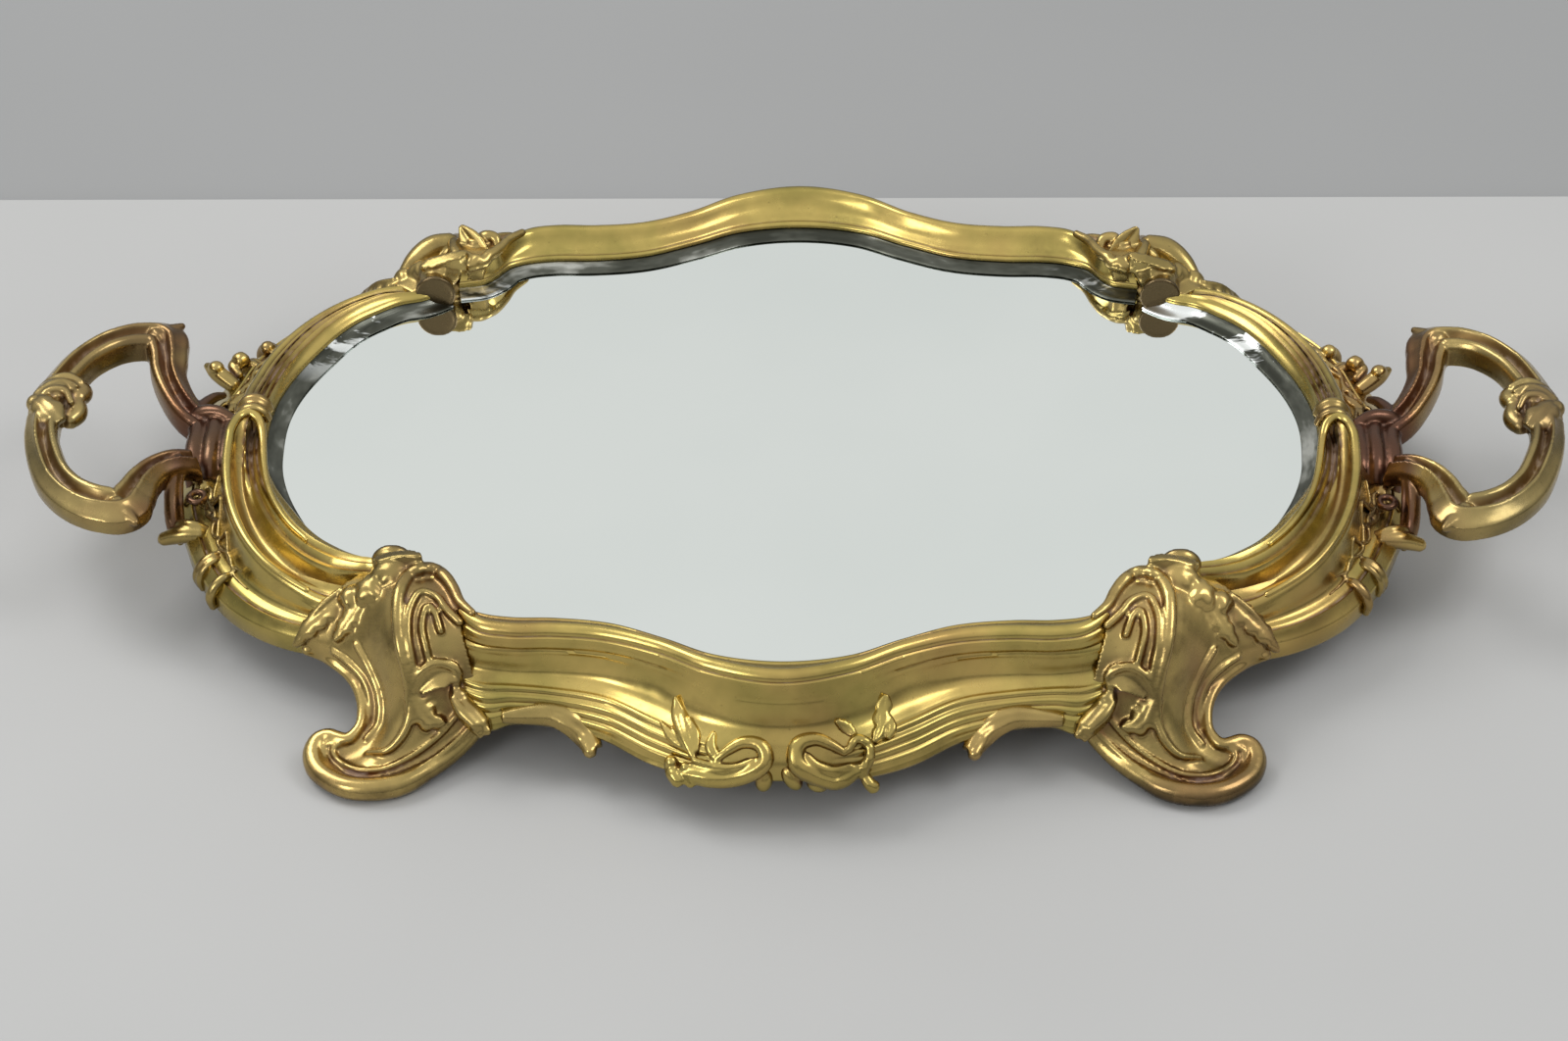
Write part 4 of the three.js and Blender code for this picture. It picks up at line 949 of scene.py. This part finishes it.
def handle_parts():
    parts = [handle_bar(1), handle_bar(-1)]
    # The root block against the rail: creased lumps side by side, running front to back.
    parts.append(ball((195, 0, 27), (6.5, 16, 8.0)))
    for x, wide, top in ((188.8, 2.8, 36.2), (193.8, 3.2, 36.0), (199.6, 3.4, 34.6)):
        parts.append(tube([(x + 0.6, 15, 27), (x + 0.4, 10.5, top - 1.6), (x, 3, top), (x, -4, top),
            (x - 0.3, -11, top - 2.2), (x - 0.6, -15, 26)], [wide * 0.8, wide, wide, wide, wide, wide * 0.8],
            steps=34, sides=14))
    parts.append(tube([(204.0, 14.5, 31), (199.5, 13.5, 36.6), (193.5, 12.0, 38.4), (187.5, 9, 37.4)],
        [2.4, 2.8, 2.4, 1.6], steps=20, sides=12))
    # The leaf wrapped round the outer middle, with its knot, curl and pointed tip.
    parts.append(blade([(239.5, 16.5, 46.6), (244.5, 13.5, 49.4), (249.5, 8.5, 50.4), (255.0, 3.0, 47.6)],
        [3.0, 5.6, 5.0, 1.0], 3.2, -1.4, up=(0.2, 0, 1), notch=3))
    parts.append(blade([(242.5, -7, 48.2), (247, -3, 50.2), (251, 2.0, 50.2), (254.8, 5.5, 47.2)],
        [3.0, 5.4, 4.4, 1.0], 2.8, -1.0, up=(0.3, 0, 1), notch=2))
    parts.append(tube([(239, 15.5, 48.0), (244, 17.0, 49.4), (249.5, 14.0, 49.2), (253.6, 8.6, 47.8)],
        [1.2, 1.6, 1.6, 1.2]))
    parts.append(tube([(240, 11.5, 49.2), (244.5, 12.5, 50.5), (249, 10.0, 50.8), (253.0, 5.0, 49.2)],
        [1.0, 1.3, 1.3, 1.0]))
    parts.append(tube([(240.5, 3.0, 48.6), (243.5, 7.5, 50.6), (248, 7.0, 51.0), (252.0, 2.5, 49.4)],
        [1.2, 1.5, 1.4, 1.0]))
    parts.append(tube([(240.6, 18.5, 43.5), (239.0, 14.0, 44.5), (240.0, 9.5, 45.5)], [2.6, 3.6, 3.0], steps=14,
        sides=14))
    parts.append(tube([(240.4, 9.0, 44.5), (239.6, 4.5, 43.5), (241.6, -0.5, 43.5)], [3.2, 3.8, 3.0], steps=14,
        sides=14))
    parts.append(ball((252.9, 3.6, 48.0), (3.0, 3.4, 3.0)))
    # The pointed outer corners of the bar.
    for s in (1, -1):
        parts.append(tube([(219, 47.0 * s, 43.0), (214.0, 51.6 * s, 43.2), (210.8, 55.0 * s, 43.4)],
            [4.6, 3.0, 1.2], steps=12, sides=12))
    # The front post that drops from the end of the arm to the rail.
    parts.append(tube([(203.0, -17.0, 39.4), (203.8, -21.0, 38.0), (204.2, -27, 33.0), (203.6, -33.0, 27.0),
        (202.6, -35.0, 23.0)], [3.4, 3.1, 2.7, 2.7, 2.6], steps=24, sides=14))
    parts.append(tube([(200.5, -18.5, 39.8), (201.2, -23.0, 37.0), (201.0, -29.0, 31.0), (200.4, -33.0, 26.5)],
        [0.9, 1.0, 0.9, 0.8], steps=20, sides=8))
    # The opened ring beside the post and a short stem behind.
    ring = [(195.6 + 2.5 * math.cos(a), -28.6 + 2.9 * math.sin(a), 33.6) for a in np.linspace(0, 6.0, 16)]
    parts.append(tube(ring, 1.2))
    parts.append(tube([(201, 17, 35), (199.5, 22, 34.5), (197, 27, 33.5), (194.5, 31, 31.5)],
        [2.6, 2.2, 1.8, 1.2]))
    return parts


# ---- Ornaments on the rails ----
SPRAY_REACH = 151.6  # no scroll of the spray stands further forward than this


def spray_parts(bed):
    """The spray at the middle of the front rail: scrolls, drops and leaves."""
    parts = []

    def stem(points, radius, lift=0.9):
        count = max(12, 5 * len(points))
        size = swelling(radius, count)
        pressed = bed.press(through(points, count), lift)
        pressed[:, 1] = np.maximum(pressed[:, 1], np.asarray(size) - SPRAY_REACH)
        parts.append(tube(pressed, size))

    def leaf(points, widths, thick=1.8, lift=0.9, notch=0, cup=-0.5):
        pressed = bed.press(points, lift)
        parts.append(blade(pressed, widths, thick, cup, up=(0, -0.8, 0.6), notch=notch, notch_depth=0.35))

    # Left side.
    leaf([(-27, -142, 21), (-29.5, -138, 26), (-32, -132, 31), (-33, -129, 34)], [1.2, 2.2, 2.4, 0.6], 2.0)
    leaf([(-28, -141, 22), (-34, -137, 25), (-37.5, -135, 29)], [1.2, 1.9, 0.6], 1.8)
    leaf([(-26, -141, 22), (-26.5, -137, 26), (-28.5, -134, 30)], [1.0, 1.7, 0.6], 1.8)
    leaf([(-19, -145, 21), (-21.5, -142, 25), (-20.5, -139, 28.5)], [1.0, 2.0, 0.7], 2.0)
    stem([(-31, -146, 17.5), (-25, -148, 18), (-17, -149, 17.5), (-9, -147, 19), (-4.5, -144, 22),
        (-6, -141.5, 25), (-11, -141, 26), (-16, -143, 24.5), (-20, -145, 22)], [2.4, 3.2, 3.5, 3.5, 3.2, 2.7,
        2.2, 1.8, 1.2], 0.9)
    stem([(-29, -145, 19), (-22, -147.2, 19.6), (-14, -147, 20.2), (-9.5, -145.5, 21.5)], [1.6, 2.2, 2.2, 1.8],
        0.6)
    stem([(-27, -143.5, 21), (-20, -146, 20.5), (-12, -146, 20.8), (-8, -144.5, 22)], [1.0, 1.2, 1.2, 0.9], 1.6)
    stem([(-34, -143.5, 20.5), (-33.5, -146, 18), (-31.5, -148.5, 15.8)], [2.2, 2.6, 2.3], 1.0)
    stem([(-29.5, -145.5, 20), (-29, -147.5, 17.5), (-27.5, -149, 15.6)], [1.7, 2.0, 1.9], 1.2)
    # Drops.
    for centre, size, turn in (
        ((-5.1, -147.7, 16.4), (2.9, 3.0, 4.2), (-0.2, 0.15, 0)),
        ((3.4, -147.2, 17.0), (2.9, 3.0, 4.9), (-0.2, -0.55, 0)),
        ((11.4, -148.0, 15.0), (3.6, 2.8, 2.5), (0, 0.35, 0)),
    ):
        parts.append(ball(centre, size, turn))
    # Right side.
    stem([(24, -146, 19), (17, -149, 17), (10, -147.5, 18.5), (4.8, -144.5, 22), (5.5, -141.5, 25.5),
        (10.5, -140.5, 27), (16, -142, 25.8), (20, -143.5, 24)], [2.0, 3.2, 3.5, 3.5, 3.0, 2.5, 2.0, 1.4], 0.9)
    stem([(25, -145.5, 20), (17, -147, 19.4), (11, -145.8, 21), (8, -143.8, 23)], [1.5, 2.2, 2.2, 1.6], 0.6)
    stem([(22, -145.5, 20.5), (15, -147, 20), (9, -145, 22)], [1.0, 1.3, 0.9], 1.6)
    stem([(21, -143, 24.5), (23.5, -141, 27.5), (27, -142, 26.5), (27.5, -145, 23), (25.5, -147, 20),
        (27, -149, 17), (29, -150, 14.8)], [1.4, 1.7, 1.7, 1.8, 2.0, 1.9, 2.3], 1.2)
    leaf([(29, -138.5, 24.5), (31, -135, 28), (31.5, -131, 31.5), (32.5, -128, 34.5)], [1.4, 2.8, 3.4, 1.6],
        2.0, 0.9, 3)
    leaf([(33, -136.5, 24), (34.5, -134.5, 26.5), (33.5, -132, 29)], [0.9, 1.5, 1.0], 1.8, 1.2)
    leaf([(23.5, -139, 26.5), (20.5, -137.5, 28.5), (17, -135.5, 30.5)], [1.0, 2.6, 1.0], 1.3, 0.5, 5)
    return parts


def wrap(t, size):
    """A cord wound over the rail's facet at t: a bead on top, running down its outer side."""
    return tube(
        [side_point(t + 0.004, 21.5, 27.6), side_point(t, 25.5, 28.0), side_point(t - 0.003, 29.3, 25.8),
            side_point(t - 0.004, 31.2, 22.5), side_point(t, 30.4, 17.8)],
        [size * 0.6, size, size * 1.1, size, size * 0.8], steps=26, sides=14,
    )


def tie_parts(beds):
    """Wound beads, the pointed bud and the thin vines along the outside of a side rail."""
    down = np.array([0, 0, -1.0])

    def vine(places, radius, lift=0.3):
        line = through([side_point(t, s, 40.0) for t, s in places], 60)
        return tube(bed.press(line, lift, down), swelling(np.multiply(radius, 0.85), 60), steps=70, sides=8)

    def leaf(places, widths, thick, lift=0.6):
        line = bed.press(through(np.array([side_point(t, s, 40.0) for t, s in places]), len(widths)), lift,
            down)
        return blade(line, widths, thick, -0.3, up=(0, 0, 1))

    parts = []
    for sy, bed in zip((1, -1), beds):
        half = [wrap(0.604, 1.8), wrap(0.586, 1.3), wrap(0.505, 1.7)]
        if sy > 0:
            half.append(tube([side_point(0.712, 26, 27.4), side_point(0.73, 32, 26.8),
                side_point(0.748, 39.0, 24.0)], [2.4, 3.1, 2.3], steps=16, sides=16))
            half.append(tube([side_point(0.72, 24, 28), side_point(0.735, 29, 29.4), side_point(0.76, 33.0, 27),
                side_point(0.752, 33.4, 21)], [1.4, 1.9, 1.9, 1.3], steps=24, sides=12))
        else:
            half.append(tube([side_point(0.705, 26, 27.5), side_point(0.695, 31, 29.5),
                side_point(0.686, 35.0, 31.0), side_point(0.679, 38, 31.5)], [2.6, 3.0, 2.6, 1.2], steps=20,
                sides=16))
            half.append(ball(side_point(0.69, 33.5, 32.6), (2.8, 2.8, 2.3)))
            half.append(ball(side_point(0.619, 29.0, 30.4), (3.3, 3.3, 3.0), lobes=4, depth=0.12))
            half.append(ball(side_point(0.53, 25.0, 29.6), (2.7, 2.7, 2.5)))
            half.append(tube([side_point(0.66, 27, 28), side_point(0.635, 31, 28.8),
                side_point(0.60, 31.5, 28)], [1.6, 2.0, 1.4], steps=16, sides=12))
        # Vines lie in the slope between the rim and the rail.
        half.append(vine([(0.90, 27.5), (0.84, 21.5), (0.77, 23.5), (0.70, 20.5), (0.63, 22.5), (0.56, 21),
            (0.49, 22.5), (0.42, 22)], [1.2, 1.2, 1.1, 1.1, 1.0, 0.9, 0.8, 0.5]))
        half.append(vine([(0.88, 22), (0.82, 25.5), (0.75, 20.8), (0.68, 23.0), (0.61, 19.8), (0.55, 21.8),
            (0.47, 20.6)], [0.9, 1.0, 0.95, 0.9, 0.9, 0.8, 0.5]))
        half.append(vine([(0.86, 18.5), (0.80, 20.5), (0.74, 18.6), (0.69, 20.4)], [0.7, 0.9, 0.9, 0.5]))
        half.append(leaf([(0.80, 22.0), (0.775, 20.0), (0.75, 18.6)], [0.8, 1.9, 0.6], 1.4))
        half.append(leaf([(0.86, 25), (0.845, 28.5), (0.83, 31.0)], [0.8, 2.3, 0.6], 1.5))
        half.append(leaf([(0.93, 20), (0.915, 24.5), (0.90, 28.0)], [0.8, 2.2, 0.6], 1.5))
        half.append(ball(side_point(0.868, 24.0, 30.8), (3.2, 3.2, 2.2), lobes=5, depth=0.2))
        parts += half if sy > 0 else mirrored(half, 1, -1)
    return parts


def back_leaf_parts():
    """The swelling scroll, the leaf tip and the small curl that stand on the outside of a back corner."""
    return [
        tube([(138, 90, 40.5), (134, 94.5, 43.5), (128, 98.8, 46.2), (121.5, 100.0, 47.6)],
            [2.6, 4.0, 4.5, 3.6], steps=26, sides=16),
        blade([(111, 95, 45.5), (113.5, 97.5, 48.5), (116.6, 100.4, 51.6), (118.2, 102.0, 53.6)],
            [4.0, 4.2, 2.8, 0.7], 2.4, 0.8, up=(0.2, -1.0, 0.4)),
        tube([(113.5, 99, 46.5), (109.5, 100.6, 49.6), (106.4, 99.8, 49.6), (105.4, 97, 47.5)],
            [2.4, 2.5, 2.1, 1.6], steps=24, sides=12),
        ball((118, 97, 43.5), (9.5, 6.0, 5.5)),
    ]


def collar_parts():
    """The ring of two ribs over the narrow middle of a side rail."""
    arch = [(174.2, 46.0), (175.6, 49.3), (178.2, 51.0), (180.8, 50.7), (182.9, 48.4), (184.3, 45.0)]
    line = through(arch, 24)
    parts = []
    profile = [(-4.4, 0.2), (-4.2, 1.1), (-3.3, 1.75), (-1.9, 1.7), (-0.9, 0.8), (0.0, 0.45), (0.9, 0.8),
        (1.9, 1.7), (3.3, 1.75), (4.2, 1.1), (4.4, 0.2)]
    rings = []
    way = unit(np.gradient(line, axis=0))
    for (x, z), (dx, dz) in zip(line, way):
        nx, nz = -dz, dx
        ring = [(x + nx * h, y, z + nz * h) for y, h in profile]
        ring += [(x - nx * 1.4, y, z - nz * 1.4) for y in (3.8, -3.8)]
        rings.append(ring)
    parts.append(loft(np.array(rings)))
    return parts


# ---- Bezel strip round the glass ----
BEZEL_REACH = 5.3  # how far the strip laps over the glass at the back and the sides


def bezel_ring(p, d, start=0.0, top=EDGE_Z, reach=BEZEL_REACH):
    return [
        np.array([p[0] + d[0] * s, p[1] + d[1] * s, z])
        for s, z in (
            (start + 0.35, top - 0.2), (start + 0.1, top - 0.45), (start - 0.17 * reach, 39.75),
            (start - 0.45 * reach, 39.2),
            (start - 0.74 * reach, 38.85), (start - 0.94 * reach, 38.75), (start - reach, 38.5),
            (start - 0.98 * reach, 38.32),
            (start + 3.1, 38.32), (start + 3.1, top - 0.55),
        )
    ]


def bezel_front(reach):
    net = np.array([row[0][:2] for row in FRONT_NET], float)
    full = np.vstack([net[:0:-1] * (-1, 1), net])
    line = through(full, 160)
    way = unit(np.gradient(line, axis=0))
    out = np.column_stack([way[:, 1], -way[:, 0]])
    return [loft([bezel_ring(p, d, reach=reach) for p, d in zip(line, out)])]


def bezel_side():
    at = np.concatenate([np.linspace(-0.26, 0, 14)[:-1], np.linspace(0, 1, 70)])
    p, d = side_edge(at)
    front = [bezel_ring(p[i], d[i], *edge_shift(at[i], False),
        2.0 + 3.3 * ease_in((at[i] - 0.45) / 0.5)) for i in range(len(at))]
    back = [bezel_ring(p[i], d[i], *edge_shift(at[i], True)) for i in range(len(at) - 1)]
    back = np.array(back)[::-1]
    back[:, :, 1] *= -1
    return [loft(np.vstack([np.array(front), back]))]


# ---- Stage ----
def flat_sheet(name, corners, z, colours, slope_scale):
    bpy.ops.mesh.primitive_plane_add(size=1, location=(0, 0, 0))
    sheet = bpy.context.object
    sheet.name = name
    for v, (x, y) in zip(sheet.data.vertices, corners):
        v.co = (x, y, z)
    f = Finish(name)
    cloud = f.noise(slope_scale, 3, 0.55)
    colour = f.mix(f.band(cloud, 0.3, 0.7), *colours)
    f.bump(f.noise(420, 3, 0.6), 0.05, 0.0004)
    sheet.data.materials.append(f.set(Base_Color=colour, Roughness=0.85))
    return sheet


def set_stage():
    clear_selection()
    flat_sheet("table_sheet", [(-1.6, -1.6), (1.6, -1.6), (-1.6, 0.187), (1.6, 0.213)], -0.0002,
        ((0.425, 0.423, 0.421), (0.395, 0.393, 0.391)), 3.0)
    flat_sheet("backdrop", [(-4, -3), (4, -3), (-4, 3.2), (4, 3.2)], -0.012,
        ((0.283, 0.284, 0.286), (0.258, 0.259, 0.261)), 1.5)
    world = bpy.data.worlds.new("soft_room")
    bpy.context.scene.world = world
    bpy.context.scene.view_settings.view_transform = "Standard"
    world.use_nodes = True
    tree = world.node_tree
    tree.nodes.clear()
    place = tree.nodes.new("ShaderNodeTexCoord")
    split = tree.nodes.new("ShaderNodeSeparateXYZ")
    ramp = tree.nodes.new("ShaderNodeValToRGB")
    fit = tree.nodes.new("ShaderNodeMapRange")
    back = tree.nodes.new("ShaderNodeBackground")
    out = tree.nodes.new("ShaderNodeOutputWorld")
    fit.inputs[1].default_value = -1.0
    fit.inputs[2].default_value = 1.0
    stops = [(0.0, 0.12), (0.50, 0.22), (0.60, 0.34), (0.72, 0.70), (0.85, 0.78), (1.0, 0.95)]
    points = ramp.color_ramp.elements
    while len(points) < len(stops):
        points.new(0.5)
    for point, (at, level) in zip(points, stops):
        point.position = at
        point.color = (level, level * 1.015, level, 1)
    tree.links.new(place.outputs["Generated"], split.inputs[0])
    tree.links.new(split.outputs["Z"], fit.inputs["Value"])
    tree.links.new(fit.outputs["Result"], ramp.inputs["Fac"])
    tree.links.new(ramp.outputs["Color"], back.inputs["Color"])
    back.inputs["Strength"].default_value = 1.0
    tree.links.new(back.outputs["Background"], out.inputs["Surface"])
    for name, stand, size, power in (
        ("top_left_box", (-1.1, 0.5, 1.6), 1.0, 16),
        ("top_right_box", (1.2, -0.2, 1.5), 0.8, 9),
        ("front_box", (-1.35, -1.6, 1.15), 0.8, 12),
    ):
        light = bpy.data.lights.new(name, "AREA")
        light.energy = power
        light.size = size
        lamp = bpy.data.objects.new(name, light)
        lamp.location = stand
        lamp.rotation_euler = (-Vector(stand)).to_track_quat("-Z", "Y").to_euler()
        bpy.context.collection.objects.link(lamp)


# ---- Assembly ----
MIRRORS = {"left": (-1, 1), "back": (1, -1)}


def build():
    set_camera()
    set_stage()
    finishes = make_finishes()

    def finish_piece(piece, node, finish):
        """Gives a piece its finish and lets it stand in for its CAD node."""
        piece.data.materials.clear()
        piece.data.materials.append(finishes[finish])
        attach(piece, BODY)
        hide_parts(node)

    def finish_pair(piece, node, finish, side="right", twin="left"):
        """Finishes a piece and its mirror image, which takes the other side's name and node."""
        finish_piece(piece, node, finish)
        copy = copy_of(piece, piece.name.replace(side, twin), *MIRRORS[twin])
        finish_piece(copy, node.replace(side, twin), finish)

    rail_shape = front_rail()
    finish_pair(make_piece("front_rail_casting", rail_shape, 50), "rail_front", "cast_gilt", "front", "back")
    spray = cast_in_one(make_piece("front_spray", spray_parts(Bed(rail_shape))), 0.45, 2)
    finish_pair(spray, "rail_front", "cast_gilt", "front", "back")

    side_shape = side_rail()
    finish_pair(make_piece("right_rail_casting", side_shape, 50), "rail_right", "cast_gilt")
    finish_pair(make_piece("right_panel_rims", panel_rims()), "rail_right", "cast_gilt")
    side_beds = Bed(side_shape), Bed(mirrored(side_shape, 1, -1))
    ties = cast_in_one(make_piece("right_ties_and_vines", tie_parts(side_beds)), 0.45, 2)
    finish_pair(ties, "rail_right", "leg_gilt")
    finish_pair(cast_in_one(make_piece("right_collar", collar_parts()), 0.35, 2), "collar_right", "leg_gilt")

    leg = cast_in_one(make_piece("leg_casting_front_right", leg_parts(rail_shape)), 0.6, 2)
    finish_piece(leg, "leg_front_right", "leg_gilt")
    for word, sx, sy in (("front_left", -1, 1), ("back_right", 1, -1), ("back_left", -1, -1)):
        finish_piece(copy_of(leg, "leg_casting_" + word, sx, sy), "leg_" + word, "leg_gilt")
    leaves = cast_in_one(make_piece("back_right_corner_leaves", back_leaf_parts()), 0.5, 2)
    finish_pair(leaves, "leg_back_right", "leg_gilt")

    handle = cast_in_one(make_piece("handle_casting_right", handle_parts()), 0.5, 2, 0.4)
    finish_pair(handle, "handle_right", "handle_gilt")

    finish_piece(make_piece("bezel_strip_front", bezel_front(2.0), 60), "bezel_front", "bezel_metal")
    back_strip = mirrored(bezel_front(BEZEL_REACH), 1, -1)
    finish_piece(make_piece("bezel_strip_back", back_strip, 60), "bezel_back", "bezel_metal")
    finish_pair(make_piece("bezel_strip_right", bezel_side(), 60), "bezel_right", "bezel_metal")

    # What stays as the CAD made it only takes a finish.
    kept = {"mirror_glass": "mirror", "packing_card": "card", "backing_board": "board"}
    for name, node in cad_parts.items():
        finish = kept.get(name)
        if name.startswith("foot_pad"):
            finish = "felt"
        elif "screw" in name:
            finish = "steel"
        elif name.startswith("turn_button"):
            finish = "button_brass"
        if finish:
            node.data.materials.clear()
            node.data.materials.append(finishes[finish])


build()
